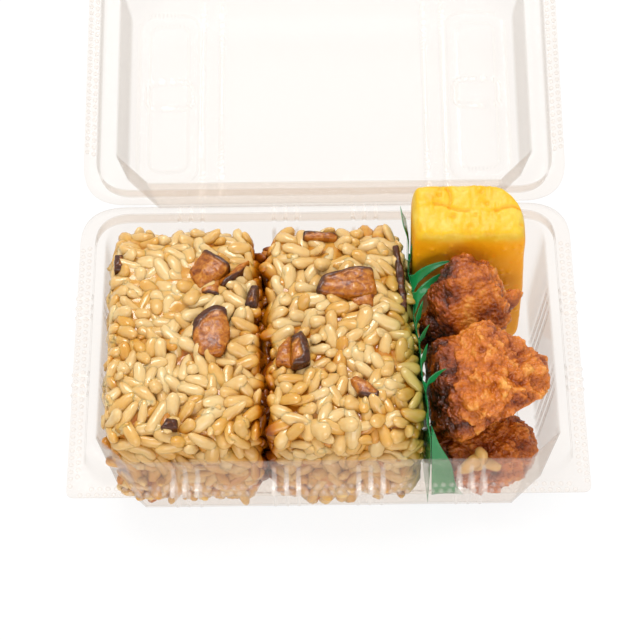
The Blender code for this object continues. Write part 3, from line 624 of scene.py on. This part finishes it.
def seam_shade(points):
    """1 deep in the gap between the two blocks, and 0 away from it."""
    near = soft_step(4.2, 0.8, np.abs(points[:, 0] - seam_line(points[:, 1])))
    return near * soft_step(41.5, 36.5, points[:, 2])


def press_flat(points):
    """Grains pressed flat on the tray's foot, on its left wall and on the wall of the shut lid."""
    wall = np.interp(points[:, 2], (0, 33.3, 34.0, 42), (-63.3, -66.9, -65.3, -64.4))
    return np.column_stack((np.maximum(points[:, 0], wall), points[:, 1],
                            np.maximum(points[:, 2], FOOT)))


def make_rice(name, block, seed, smooth):
    """One block: its whole grains, and its core, whose glaze climbs the sides of the grains."""
    layers = ((0.2, 0.5, 9000, 5.2, 2.6), (1.7, 0.4, 6000, 5.0, 2.5))
    centres, axes, normals, layer, draw = pack_grains(block, seed, layers)
    keep = np.ones(len(centres), bool)
    for x, y, length, width, turn in MUSHROOM_SPOTS:
        c, s = math.cos(math.radians(turn)), math.sin(math.radians(turn))
        dx, dy = centres[:, 0] - x, centres[:, 1] - y
        ahead, aside = (dx * c + dy * s) / (length / 2 - 1), (dy * c - dx * s) / (width / 2 - 1)
        keep &= (ahead ** 2 + aside ** 2 > 1.0) | (centres[:, 2] < 35)
    centres, axes, normals, layer = centres[keep], axes[keep], normals[keep], layer[keep]
    grains, faces = grain_shapes(centres, axes, normals, draw)
    points = grains.reshape(-1, 3)
    # Painted light and shade: each grain lighter on its upper side and darker amber down its lower side,
    # and the grains of the under layer darker, as painted shade under the outer grains.
    depth = -np.einsum("ijk,ik->ij", grains - centres[:, None], normals).ravel()
    under_layer_shade = np.where(layer == 1, 0.22, 0.0)
    level = np.repeat(draw.normal(0.76, 0.085, len(centres)) - under_layer_shade, grains.shape[1])
    tone_and_shade = level - 0.32 * np.clip(depth / 1.7, -0.4, 1.0)
    points = press_flat(points)
    made = make_piece(name, points, faces, "tray", "rice", moist_rice, name)

    cube, quads = cube_shell(64, 104, 50)
    core, normal, _ = rice_frame(cube, block)
    gap = grain_gap(core, centres, axes)
    pool = soft_step(0.30, 1.0, lumps(core, 13.0, seed + 9) + smooth(core[:, 0], core[:, 1]))
    climb = 0.75 * np.exp(-np.maximum(gap, 0) / 0.5) + 1.3 * pool + 0.25 * lumps(core, 2.4, seed)
    core = core + normal * (climb - 1.4)[:, None]
    core = press_flat(core)
    glaze = make_piece(name + "_glaze", core, quads, "tray", "rice", moist_rice, name)
    wet = 0.36 + 0.16 * np.exp(-np.maximum(gap, 0) / 0.6) + 0.14 * pool + 0.08 * lumps(core, 3.0, seed)

    for piece, places, value in ((made, points, tone_and_shade), (glaze, core, wet)):
        low = soft_step(30.0, 8.0, places[:, 2])
        stain = 0.12 * soft_step(0.0, 0.9, lumps(places, 9.0, seed + 30))
        value = value - 0.08 * low - 0.55 * seam_shade(places) - stain
        set_values(piece, "tone_and_shade", np.clip(value, 0.0, 1.0))
        # Painted green bounce light from the divider film, on the right block near the film.
        near = soft_step(12.0, 1.0, 28.5 - 0.06 * (places[:, 1] + 20) - places[:, 0])
        near *= 0.7 * soft_step(30.0, 6.0, places[:, 1])
        set_values(piece, "green", near if name == "rice_right" else near * 0)


make_rice("rice_left", {"front": (-62.4, -18.9), "back": (-62.4, -20.6), "flare": (2.8, 0.3),
                        "side": -1}, 11, lambda x, y: 0.9 * soft_step(0, 26, y + 0.5 * (-25 - x)))
make_rice("rice_right", {"front": (-16.7, 27.2), "back": (-19.0, 23.0), "flare": (0.3, 0.3),
                         "side": 1}, 23, lambda x, y: 0.35 * soft_step(8, 30, y))

# Loose rice: a few whole grains of the same seasoned rice, which fell in front of the chicken
# while the pack was filled.
draw = np.random.default_rng(5)
centres = np.array(((41.9, -38.9, 20.6), (44.6, -37.6, 21.4), (47.4, -38.8, 20.6)))
directions = np.array(((0.8, 0.5, 0.3), (0.2, 0.6, 0.8), (0.7, -0.6, 0.3)))
points, faces = grain_shapes(centres, directions, np.tile((0.0, 0.0, 1.0), (3, 1)), draw)
loose = make_piece("loose_rice", points.reshape(-1, 3), faces, "tray", "rice", moist_rice)
set_values(loose, "tone_and_shade", np.full(points.size // 3, 0.80))
set_values(loose, "green", np.zeros(points.size // 3))

# Mushroom: cut pieces of simmered dried mushroom, pressed into the top of the rice. The cut flesh
# is a wet tan brown, and the cap's skin is a narrow edge of dark brown.
simmered_mushroom, tree, shader = new_finish("simmered mushroom", {
    "Roughness": 0.25, "Specular IOR Level": 0.4, "Subsurface Weight": 0.25,
    "Subsurface Radius": (1.0, 0.4, 0.15), "Subsurface Scale": 0.0015})
skin = add_node(tree, "Attribute", {}, attribute_name="skin")
place = add_node(tree, "TexCoord", {})
fibre = add_node(tree, "TexNoise", {"Vector": place.outputs["Object"], "Scale": 520.0, "Detail": 5.0,
                                    "Roughness": 0.6, "Distortion": 0.6})
flesh = add_node(tree, "ValToRGB", {"Fac": fibre.outputs["Fac"]}, dimmed(0.74, (
    (0.3, "743208"), (0.5, "b86814"), (0.72, "e0993c"))))
hide = add_node(tree, "ValToRGB", {"Fac": fibre.outputs["Fac"]}, dimmed(0.8, (
    (0.3, "2a1105"), (0.6, "5c2d10"), (0.8, "8c5827"))))
cut = add_node(tree, "Mix", {"Factor_Float": skin.outputs["Fac"], "A_Color": flesh.outputs["Color"],
                             "B_Color": hide.outputs["Color"]}, data_type="RGBA")
tree.links.new(cut.outputs[2], shader.inputs["Base Color"])
relief = add_node(tree, "Bump", {"Height": fibre.outputs["Fac"], "Strength": 0.6, "Distance": 0.0004})
tree.links.new(relief.outputs["Normal"], shader.inputs["Normal"])


def cut_slab(corners, bottom, thickness, skinned, band, seed, lean=(0.0, 0.0)):
    """
    A cut piece from its corners in mm, seen from above: the reach in each direction is a power mean
    of the distances to its edges, which rounds the corners a little. The skinned edges stand proud
    and are dark in a band. Gives points, faces and the amount of skin at each point.
    """
    corners = np.array(corners, float)
    middle = corners.mean(axis=0)
    along = np.roll(corners, -1, axis=0) - corners
    outward = np.stack((along[:, 1], -along[:, 0]), -1) / np.linalg.norm(along, axis=1)[:, None]
    reach = ((corners - middle) * outward).sum(axis=1)
    outward, reach = outward * np.sign(reach)[:, None], np.abs(reach)
    cube, quads = cube_shell(34, 34, 10)
    share = rounded_box(cube, 2.0, 6.0)
    facing = share[:, :2] / np.maximum(np.linalg.norm(share[:, :2], axis=1), 1e-6)[:, None]
    nearest = np.clip(facing @ outward.T / reach, 1e-3, None)
    far = (nearest ** 14).sum(axis=1) ** (-1 / 14)
    flat = share[:, :2] * far[:, None]
    up = (share[:, 2] + 1) / 2
    place = np.column_stack((middle + flat, bottom + up * thickness))
    wander = np.stack([lumps(place, 3.2, seed + k) for k in (1, 2)], -1)
    flat = flat + 0.35 * wander * np.linalg.norm(share[:, :2], axis=1)[:, None]
    edge = (reach - flat @ outward.T)[:, skinned] if skinned else np.full((len(flat), 1), 9.0)
    ragged = edge.min(axis=1) + 0.35 * lumps(place, 1.6, seed + 4)
    skin = soft_step(band + 0.5, band - 0.5, ragged)
    rough = 0.30 * lumps(place, 2.6, seed + 5) + 0.15 * lumps(place, 1.1, seed + 6)
    crown = 1 - 0.16 * (share[:, 0] ** 2 + share[:, 1] ** 2) + 0.10 * skin
    z = bottom + up * (thickness * crown + rough + flat @ np.array(lean))
    return np.column_stack((middle + flat, z)), quads, skin


def make_mushroom(number, *slabs):
    """One piece of mushroom, from one or more slabs that hang together."""
    points, faces, skin, start = [], [], [], 0
    for place, quads, dark in slabs:
        points.append(place)
        faces.append(quads + start)
        skin.append(dark)
        start += len(place)
    name = "mushroom_%d" % number
    made = make_piece(name, np.concatenate(points), np.concatenate(faces), "tray", "mushroom",
                      simmered_mushroom, name)
    set_values(made, "skin", np.concatenate(skin))


make_mushroom(
    1, cut_slab([(-36.4, 25.2), (-28.4, 18.7), (-31.9, 13.7), (-37.9, 10.8), (-41.2, 17.6)], 38.6, 5.8,
                [0], 1.9, 3, (0.10, 0.02)),
    cut_slab([(-38.2, 14.5), (-32.1, 15.3), (-32.2, 8.5), (-37.2, 9.1)], 38.4, 4.2, [2], 0.8, 4),
    cut_slab([(-32.6, 13.6), (-26.4, 19.6), (-22.6, 21.8), (-25.4, 16.2), (-31.0, 11.6)], 38.4, 3.8,
             [3], 1.4, 5))
make_mushroom(
    2, cut_slab([(-40.1, -2.0), (-36.6, 2.7), (-32.8, 4.8), (-29.5, 3.2), (-28.4, -5.7), (-30.6, -12.5),
                 (-38.2, -13.0), (-39.6, -7.0)], 38.2, 5.4, [0, 1, 2], 2.9, 6, (0.0, 0.06)))
make_mushroom(3, cut_slab([(-48.6, -37.6), (-46.4, -34.8), (-43.2, -35.4), (-43.4, -38.2)], 38.8, 3.0,
                          [0, 1, 2, 3], 1.5, 7))
make_mushroom(4, cut_slab([(-64.0, 18.6), (-63.6, 24.8), (-61.2, 24.8), (-61.0, 18.8)], 37.6, 3.8,
                          [0, 1, 3], 1.5, 8))
make_mushroom(5, cut_slab([(-24.6, 5.0), (-22.6, 12.6), (-20.0, 12.4), (-20.6, 4.4)], 36.6, 5.4,
                          [0, 1, 2, 3], 1.6, 9))
make_mushroom(
    6, cut_slab([(-3.1, 8.4), (-1.2, 14.6), (8.6, 17.5), (14.2, 16.7), (15.4, 8.4), (9.6, 6.6)], 38.8,
                5.8, [0, 1, 2], 1.7, 10, (0.0, 0.02)),
    cut_slab([(5.6, 9.2), (14.8, 10.0), (14.2, 4.2), (8.0, 4.8)], 38.6, 3.8, [], 1.0, 11))
make_mushroom(
    7, cut_slab([(-15.2, -16.2), (-14.3, -10.5), (-11.2, -6.5), (-10.0, -8.0), (-10.4, -17.6)], 38.6,
                4.6, [], 1.0, 12),
    cut_slab([(-10.6, -7.8), (-7.2, -5.6), (-5.2, -10.6), (-4.6, -16.2), (-6.5, -17.8),
              (-10.6, -18.0)], 38.6, 6.0, [0, 1, 2, 3], 2.6, 13, (-0.05, 0.0)))
make_mushroom(8, cut_slab([(6.6, -22.2), (8.6, -20.4), (11.0, -22.1), (15.2, -26.3), (14.6, -28.2),
                           (9.6, -27.6)], 38.4, 3.8, [3, 4], 0.9, 14))
make_mushroom(9, cut_slab([(-7.0, 29.8), (-6.6, 32.4), (3.8, 31.8), (3.6, 29.4)], 38.0, 3.8, [0, 1], 0.9,
                          15))
make_mushroom(
    10, cut_slab([(21.2, 15.0), (20.2, 27.4), (22.2, 28.0), (23.8, 16.0)], 36.4, 4.6, [0, 1, 2, 3],
                 1.6, 16),
    cut_slab([(21.6, 4.6), (21.0, 17.0), (23.6, 17.4), (24.2, 5.0)], 35.6, 4.8, [0, 1, 2, 3], 1.6, 17))

# Omelette: a slice of rolled egg, cooked in thin layers and cut across. It is smooth, moist and
# strong yellow, with a seam over the top and a few small holes.
cooked_egg, tree, shader = new_finish("moist cooked egg", {
    "Roughness": 0.42, "Specular IOR Level": 0.3, "Subsurface Weight": 0.3,
    "Subsurface Radius": (1.0, 0.7, 0.1), "Subsurface Scale": 0.003})
place = add_node(tree, "TexCoord", {})
cloud = add_node(tree, "TexNoise", {"Vector": place.outputs["Object"], "Scale": 110.0, "Detail": 5.0,
                                    "Roughness": 0.55})
yolk = add_node(tree, "ValToRGB", {"Fac": cloud.outputs["Fac"]}, dimmed(0.70, (
    (0.3, "f2b40a"), (0.5, "f9ca26"), (0.7, "fedc5c"))))
scorch = add_node(tree, "Attribute", {}, attribute_name="scorch")
egg = add_node(tree, "Mix", {"Factor_Float": scorch.outputs["Fac"], "A_Color": yolk.outputs["Color"],
                             "B_Color": linear("f9a400", 0.88)}, data_type="RGBA")
tree.links.new(egg.outputs[2], shader.inputs["Base Color"])
pores = add_node(tree, "TexNoise", {"Vector": place.outputs["Object"], "Scale": 650.0, "Detail": 4.0})
relief = add_node(tree, "Bump", {"Height": pores.outputs["Fac"], "Strength": 0.35, "Distance": 0.0004})
tree.links.new(relief.outputs["Normal"], shader.inputs["Normal"])


def make_omelette():
    """
    A rounded block that leans back, between its foot and its top, with soft waves, a folded seam
    across the top, a crack and small holes pressed in.
    """
    cube, quads = cube_shell(80, 50, 100)
    share = rounded_box(cube, 11.0, 11.0)
    up, along = (share[:, 2] + 1) / 2, (share[:, 1] + 1) / 2
    x = blend(26.1, 60.4, (share[:, 0] + 1) / 2)
    y = blend(blend(18.5, 22.2, up), blend(37.4, 40.2, up), along)
    z = blend(FOOT, blend(51.2, 54.4, along), up)
    over = x + y - 91.6
    over = 0.5 * (over + np.sqrt(over * over + 4.0)) / 2
    x, y = x - over, y - over
    points = np.stack((x, y, z), -1)
    flat = points * (1.0, 1.0, 0.5)
    wave = 0.5 * lumps(flat, 11.0, 4) + 0.28 * lumps(points, 4.5, 6) + 0.10 * lumps(points, 1.6, 8)
    top = soft_step(0.86, 0.97, share[:, 2])
    seam_y = 31.6 - 0.05 * (x - 40) + 0.8 * np.sin(x / 4.1) + 0.4 * np.sin(x / 1.7)
    broken = soft_step(0.0, 0.3, np.sin(x / 2.9 + 1.0) + 0.45)
    seam = np.exp(-((y - seam_y) / 0.35) ** 2) * broken
    crack_x = 37.2 + 0.7 * np.sin(y / 1.7)
    crack = np.exp(-((x - crack_x) / 0.45) ** 2) * soft_step(31.0, 33.0, y) * soft_step(40, 38, y)
    hole = np.exp(-(((x - 38.4) / 1.0) ** 2 + ((y - 29.2) / 0.8) ** 2))
    hole = hole + 0.5 * soft_step(0.22, 0.10, pits(points, 5.0, 35))
    ripple = 0.25 * np.sin(x / 1.5 + 0.8 * np.sin(y / 3.0)) * soft_step(30, 24, y)
    z += top * (wave - 0.6 * seam - 0.7 * crack - 0.8 * hole + 0.9 * ripple)
    z += top * 0.3 * soft_step(seam_y - 0.2, seam_y + 0.8, y)
    z += top * 0.26 * lumps(points * (1.6, 0.7, 1), 1.5, 37)
    side = 1 - top
    pitted = 0.35 * soft_step(0.30, 0.12, pits(points, 3.2, 31))
    y += side * (0.35 * lumps(points, 9.0, 12) + pitted) * np.sign(share[:, 1])
    x += side * 0.3 * lumps(points, 8.0, 14) * np.abs(share[:, 0]) ** 8
    z = np.maximum(z, FOOT)
    made = make_piece("omelette", np.stack((x, y, z), -1), quads, "tray", "omelette", cooked_egg,
                      "omelette")
    spots = side * soft_step(0.26, 0.16, pits(points, 4.4, 33)) * soft_step(-0.6, -0.9, share[:, 1])
    low = soft_step(52.5, 46.0, z) * 0.8 * side
    set_values(made, "scorch", np.clip(0.8 * spots + low + 0.8 * top * (seam + crack + hole), 0, 1))


make_omelette()

# Fried chicken: three pieces of thigh in a craggy starch crust. The crust is glossy orange brown.
# It is painted light on its raised knobs and dark brown in its creases, as painted light and shade,
# and painted darker towards the divider and the foot, as painted shade.
crisp_crust, tree, shader = new_finish("crisp fried crust", {
    "Roughness": 0.24, "Subsurface Weight": 0.15, "Subsurface Radius": (1.0, 0.35, 0.1),
    "Subsurface Scale": 0.0012})
painted_crust_shade = add_node(tree, "Attribute", {}, attribute_name="painted_crust_shade")
place = add_node(tree, "TexCoord", {})
speck = add_node(tree, "TexNoise", {"Vector": place.outputs["Object"], "Scale": 700.0, "Detail": 6.0,
                                    "Roughness": 0.65})
patchy = add_node(tree, "TexNoise", {"Vector": place.outputs["Object"], "Scale": 130.0, "Detail": 4.0})
mixed = add_node(tree, "Math", {"Value": speck.outputs["Fac"], "Value_001": 0.34,
                                "Value_002": painted_crust_shade.outputs["Fac"]}, operation="MULTIPLY_ADD")
mixed = add_node(tree, "Math", {"Value": patchy.outputs["Fac"], "Value_001": 0.36,
                                "Value_002": mixed.outputs["Value"]}, operation="MULTIPLY_ADD")
crust = add_node(tree, "ValToRGB", {"Fac": mixed.outputs["Value"]}, dimmed(0.76, (
    (0.28, "1c0a00"), (0.46, "602303"), (0.63, "a54a09"), (0.82, "e27d1e"), (1.0, "ffb552"))))
tree.links.new(crust.outputs["Color"], shader.inputs["Base Color"])
bubble = add_node(tree, "TexVoronoi", {"Vector": place.outputs["Object"], "Scale": 1050.0},
                  feature="SMOOTH_F1")
dome = add_node(tree, "Math", {"Value": bubble.outputs["Distance"], "Value_001": -1.4,
                               "Value_002": speck.outputs["Fac"]}, operation="MULTIPLY_ADD")
relief = add_node(tree, "Bump", {"Height": dome.outputs["Value"], "Strength": 0.85, "Distance": 0.0006})
tree.links.new(relief.outputs["Normal"], shader.inputs["Normal"])


def crag(ray, seed):
    """The CAD crust's three crossed waves in a direction, about -1 to 1."""
    x, y, z = ray.T
    value = np.sin(5.1 * x + seed) * np.sin(4.3 * y + 1.7 * seed)
    value += 0.7 * np.sin(8.3 * z + 6.1 * x + 0.6 * seed) * np.sin(7.7 * y - 2.1 * seed)
    value += 0.5 * np.sin(13.0 * x - 9.0 * z + seed) * np.sin(12.0 * y + 7.0 * z)
    return value / 1.6


LID_WALL = 65.2


def make_chicken(name, centre, radii, seed, lobes, limits):
    """
    A piece of thigh: a stretched ball with lobes, held back by the planes of its neighbours, then
    raised into knobs and folds at four sizes, from 8 mm down to 1 mm.
    """
    cube, quads = cube_shell(104, 104, 104)
    ray = cube * np.sqrt(1 - np.roll(cube, 1, 1) ** 2 / 2 - np.roll(cube, -1, 1) ** 2 / 2
                         + np.roll(cube, 1, 1) ** 2 * np.roll(cube, -1, 1) ** 2 / 3)
    reach = 1 / np.linalg.norm(ray / radii, axis=1)
    for azimuth, elevation, height, spread in lobes:
        azimuth, elevation = math.radians(azimuth), math.radians(elevation)
        peak = np.array((math.cos(azimuth) * math.cos(elevation),
                         math.sin(azimuth) * math.cos(elevation), math.sin(elevation)))
        away = np.degrees(np.arccos(np.clip(ray @ peak, -1, 1))) / spread
        reach += height * np.exp(-away * away)
    reach += 1.3 * crag(ray, seed)
    free = reach.copy()
    for normal, point in limits + [((0, 0, -1), (0, 0, FOOT))]:
        facing = ray @ np.array(normal, float)
        stop = np.dot(np.array(point, float) - centre, normal) / np.where(facing > 1e-6, facing, 1)
        reach = np.where(facing > 1e-6, np.minimum(reach, stop), reach)
    pressed = soft_step(0.2, 2.0, free - reach)
    points = centre + ray * reach[:, None]
    warp = np.stack([lumps(points, 6.0, seed + k) for k in (1, 2, 3)], -1)
    folded = points + 1.8 * warp
    big = 1 - 2 * np.abs(lumps(folded, 8.0, seed + 4))
    mid = 1 - 1.6 * pits(folded, 4.6, seed + 5)
    knobs = 1 - 1.6 * pits(points + 0.7 * warp, 2.3, seed + 6)
    grit = 1 - 1.6 * pits(points, 1.0, seed + 7)
    rise = 1.1 * big + 1.25 * mid + 0.9 * knobs + 0.46 * grit
    points = points + ray * ((rise - 1.3) * (1 - 0.75 * pressed))[:, None]
    points[:, 0] = np.minimum(points[:, 0], LID_WALL)
    points[:, 2] = np.maximum(points[:, 2], FOOT)
    made = make_piece(name, points, quads, "tray", "chicken", crisp_crust, name)
    # Painted light and shade: the crust's colour follows the height of its relief, light on the knobs
    # and dark in the creases. It is also painted darker towards the divider and the foot.
    dark = 0.22 * soft_step(42.0, 34.0, points[:, 0]) + 0.05 * soft_step(26.0, 12.0, points[:, 2])
    set_values(made, "painted_crust_shade", 0.31 + 0.12 * rise - dark)


BESIDE_FILM = [((-1, -0.075, 0.0), (28.7, 0, 0)), ((-1, -0.05, 0.28), (31.4, 0, 40))]
make_chicken("chicken_back", (43.5, 7.0, 26.0), (12.0, 11.5, 23.0), 3,
             [(20, 28, 6.0, 13), (94, 65, 6.6, 28), (165, 56, 3.0, 20), (-70, 45, 2.5, 24),
              (-60, -40, 3.0, 26), (180, -15, 4.5, 32)],
             [((0, 1, -0.06), (0, 18.0, 1)), ((0.10, -0.86, 0.5), (47, -8.4, 22)), *BESIDE_FILM,
              ((0, 0, 1), (0, 0, 50.5))])
make_chicken("chicken_front", (48.0, -18.5, 32.5), (16.0, 15.5, 13.2), 8,
             [(94, 42, 5.5, 20), (145, 19, 2.0, 22), (6, 23, 4.5, 20), (-127, -18, 3.5, 22),
              (-50, 20, 2.0, 24), (180, -35, 8.0, 28), (165, -8, 7.0, 30)],
             [((-0.10, 0.86, -0.5), (47, -9.1, 22)), ((0.05, -0.1, -1), (48, -25, 20.6)), *BESIDE_FILM,
              ((1, 0, -0.12), (64.8, 0, 34)), ((1, 0, 0.123), (65.4, 0, 34.6)),
              ((0.49, -0.71, -0.50), (52.9, -24.2, 25))])
make_chicken("chicken_low", (46.5, -27.0, 10.6), (15.5, 14.0, 10.5), 14,
             [(-30, 20, 2.0, 24), (-150, 15, 2.0, 24), (80, 10, 3.0, 26), (0, 35, 2.0, 20),
              (180, 10, 4.0, 40)],
             [((-0.05, 0.1, 1), (48, -25, 19.9)), ((0.10, 0.86, 0.1), (47, -9.1, 10)), *BESIDE_FILM,
              ((1, 0, -0.12), (61.6, 0, 5)), ((0, -1, -0.12), (0, -39.4, 4)),
              ((0.707, -0.707, -0.12), (56.5, -36.0, 4))])

# Divider: a strip of thin green film, cut along its upper edge into grass blades that curl over
# the chicken. It is see-through, with white glints where it bends.
green_film, tree, shader = new_finish("thin green film", {
    "Base Color": linear("1f9a55", 0.85), "Roughness": 0.16, "Coat Weight": 0.3})
clear = add_node(tree, "BsdfTransparent", {"Color": linear("8fdc9a")})
glance = add_node(tree, "LayerWeight", {"Blend": 0.35})
cover = add_node(tree, "MapRange", {"Value": glance.outputs["Facing"], "From Min": 0.0,
                                    "From Max": 1.0, "To Min": 0.62, "To Max": 0.95})
film_mix = add_node(tree, "MixShader", {"Fac": cover.outputs["Result"],
                                        "Shader": clear.outputs["BSDF"],
                                        "Shader_001": shader.outputs["BSDF"]})
tree.links.new(film_mix.outputs["Shader"], tree.nodes["Material Output"].inputs["Surface"])


def divider_x(y):
    """Where the film stands from left to right."""
    return blend(29.8, 25.2, (y + 39.8) / 58.8)


def leaf(base_low, base_high, tip, sag, across=6, steps=18):
    """
    One grass blade: a strip that leaves the film's upper edge between two places along it and runs
    to a tip by a bent path, hollow like a leaf, its width falling to nothing. Gives points and faces.
    """
    t = np.linspace(0, 1, steps + 1)[:, None]
    side = np.linspace(-1, 1, across + 1)[None, :]
    middle, half = (base_low + base_high) / 2, (base_high - base_low) / 2
    foot = np.array((divider_x(middle), middle, 36.6))
    tip = np.array(tip, float)
    knee = (foot + tip) / 2 + np.array((-sag * 0.5, 0.0, sag))
    path = foot * (1 - t) ** 2 + knee * 2 * t * (1 - t) + tip * t * t
    heading = (tip - foot) / np.linalg.norm(tip - foot)
    aside = np.cross(heading, (0.75, 0.0, 0.66))
    aside = aside / np.linalg.norm(aside) * np.sign(aside[1])
    wide = blend(half, 2.0, t * 6) * (1 - t) ** 0.7
    turn = np.clip(2.5 * t, 0, 1)
    spread = (np.array((divider_x(middle + 1) - divider_x(middle), 1.0, 0.0)) * (1 - turn)
              + aside * turn)
    points = path[:, None] + (side * wide)[..., None] * spread[:, None]
    points[..., 2] += 0.30 * wide * side ** 2 * t
    return points.reshape(-1, 3), strip_faces(*points.shape[:2])


def front_blade():
    """The end blade, folded to the right along the tray's front wall. Gives points and faces."""
    t = np.linspace(0, 1, 25)[:, None]
    side = np.linspace(0, 1, 9)[None, :]
    wide = 9.4 * (1 - t) ** 0.95 * (1 - 0.1 * np.sin(3 * np.pi * t) * side)
    x = 30.8 - 1.0 * t + side * wide
    y = -40.1 + 1.1 * t + 0.45 * np.sin(side * np.pi) + 0.2 * np.sin(6 * t)
    points = np.stack((x, y + 0 * x, 5.6 + 36.0 * t + 0 * x), -1)
    return points.reshape(-1, 3), strip_faces(*x.shape)


def make_divider():
    """The film's upright band, with its blades along the upper edge."""
    y = np.linspace(-39.8, 37.6, 100)
    up = np.linspace(0, 1, 16)[:, None]
    crest = 36.8 + 0.9 * np.abs(np.sin((y + 39.8) / 8.6 * np.pi)) + 9.5 * soft_step(23, 34, y)
    z = FOOT + (crest - FOOT) * up
    lean = 0.3 * np.sin(y / 3.1 + z / 9.0) * up - 2.0 * soft_step(22, 33, y) * soft_step(38, 46, z)
    band = np.stack((divider_x(y) + lean, y + 0 * z, z), -1)
    points, faces, count = [band.reshape(-1, 3)], [strip_faces(*z.shape)], z.size
    blades = [leaf(*blade) for blade in (
        (-39.0, -34.0, (28.6, -34.4, 42.0), 0.8), (-28.0, -19.6, (34.8, -19.8, 43.0), 2.8),
        (-19.0, -14.0, (29.6, -10.6, 42.6), 1.0), (-10.4, -6.4, (30.4, -4.0, 43.0), 1.4),
        (-4.6, 1.4, (28.8, 4.6, 43.0), 1.0), (4.0, 12.4, (36.6, 15.2, 43.2), 2.6),
        (11.4, 18.6, (37.6, 17.2, 45.6), 3.4), (18.8, 27.0, (30.0, 31.4, 46.6), 1.2))]
    for place, quads in blades + [front_blade()]:
        points.append(place)
        faces.append(quads + count)
        count += len(place)
    made = make_piece("divider", np.concatenate(points), np.concatenate(faces), "tray", "green_film",
                      green_film, "divider")
    thicken(made, 0.12, 0.0)


make_divider()

# Lid: the second half of the same clear sheet, laid open behind the tray. Its flange, step and
# ledge fit over the tray's bead, and its panel carries low pressed lines and frames.
LIP, STEP_FOOT, STEP, LEDGE, WALL_FOOT, PANEL = 4.2, 4.7, 6.4, 9.8, 12.4, 27.5
HINGE_HEIGHT, LEAN = 28.2, math.radians(11)
profile = formed_profile([(0, 0), (LIP, 0), (STEP_FOOT, STEP), (LEDGE, STEP), (WALL_FOOT, PANEL),
                          (15.0, PANEL)], [0.7, 0.9, 0.8, 2.2], 2.4)
inset, depth = profile.T
share = inset / LEDGE
hinge = np.maximum(inset + np.interp(inset, (0.0, LIP, LEDGE, WALL_FOOT), (0.0, 1.6, 1.6, 0.2)), 0.4)
plan, _ = pack_rows(HALF_WIDTH - inset, hinge, 2 * HALF_DEPTH - inset,
                    np.maximum(blend(14.0, 9.0, inset / RIM_WIDTH), 10.0), blend(2.5, 10.0, share),
                    1 - np.clip((inset - STEP_FOOT) / (LEDGE - STEP_FOOT), 0, 1),
                    1 - np.clip(share, 0, 1), np.arange(-46.0, 46.1, 1.15),
                    np.arange(30.0, 74.1, 1.3))
inner = plan[-1]
spine = np.stack((np.clip(inner[:, 0], -26, 26), np.full(len(inner), HALF_DEPTH)), -1)
panel = inner + (spine - inner) * np.linspace(0, 0.86, 58)[1:, None, None]
plan = np.concatenate((plan, panel))
depth = np.concatenate((np.repeat(depth[:, None], plan.shape[1], 1),
                        np.full(panel.shape[:2], PANEL)))


def ridge(distance, width, height):
    """A pressed line's height by the distance from its middle."""
    return height * np.cos(np.clip(np.abs(distance) / (width / 2), 0, 1) * np.pi / 2) ** 2


def frame_distance(x, y, low_x, high_x, low_y, high_y, radius):
    """Signed distance to a rounded rectangle's outline."""
    dx = np.abs(x - (low_x + high_x) / 2) - (high_x - low_x) / 2 + radius
    dy = np.abs(y - (low_y + high_y) / 2) - (high_y - low_y) / 2 + radius
    return np.hypot(np.maximum(dx, 0), np.maximum(dy, 0)) + np.minimum(np.maximum(dx, dy), 0) - radius


x, s = np.abs(plan[..., 0]), plan[..., 1]
on_panel = soft_step(PANEL - 0.5, PANEL - 0.01, depth)
pressed = np.maximum(ridge(x - 33.8, 1.6, 0.5), ridge(x - 40.0, 1.6, 0.5)) * (
    soft_step(14, 22, s) * soft_step(92, 84, s))
pressed = np.maximum(pressed, ridge(frame_distance(x, s, 43.6, 58.6, 50, 60, 3), 1.8, 0.55))
outer = soft_step(0.4, -1.0, frame_distance(x, s, 41.0, 61.6, 22, 86, 6))
inner = soft_step(0.4, -1.0, frame_distance(x, s, 44.5, 58.0, 26, 82, 4))
lines = np.clip(pressed / 0.5, 0, 1)
# The flanks of the pressed lines and frames are made whiter in the sheet's material: partly stress
# whitening, partly painted highlight lines along the bends.
whitening_and_glint = on_panel * np.clip(4 * lines * (1 - lines) + 2 * outer * (1 - outer) + 1.6 * inner * (1 - inner),
                           0, 1)
depth = depth + on_panel * (pressed + outer * 0.5 - inner * 0.3)


def lid_place(x, s, depth):
    """Points of the open lid, from left to right, out from the hinge and down from its flange."""
    return np.stack((x, HALF_DEPTH + s * math.cos(LEAN) + depth * math.sin(LEAN),
                     HINGE_HEIGHT + s * math.sin(LEAN) - depth * math.cos(LEAN)), -1)


lid_points = lid_place(plan[..., 0], s, depth)
rows, columns = lid_points.shape[:2]
lid_faces = grid_faces(rows, columns).tolist()
lid_faces.append(list(range((rows - 1) * columns, rows * columns)))
lid = make_piece("lid", lid_points.reshape(-1, 3), lid_faces, "lid", "clear_plastic", clear_sheet,
                 "lid")
set_values(lid, "whitening_and_glint", whitening_and_glint.ravel())
thicken(lid, SHEET, -1.0)

# Knurl of the lid's flange: the same two rows of dots in the same sheet, pressed to the side that
# is on top when the lid is shut.
dots = flange_dots(-2 * HALF_DEPTH, -2) * (1, -1)
points, faces = domes(np.column_stack((dots, np.zeros(len(dots)))), KNURL_RADIUS, KNURL_HEIGHT + SHEET)
knurl = make_piece("lid_knurl", lid_place(*points.T), [face[::-1] for face in faces], "lid",
                   "clear_plastic", clear_sheet)
set_values(knurl, "whitening_and_glint", np.full(len(points), KNURL_WHITENING_AND_GLINT))
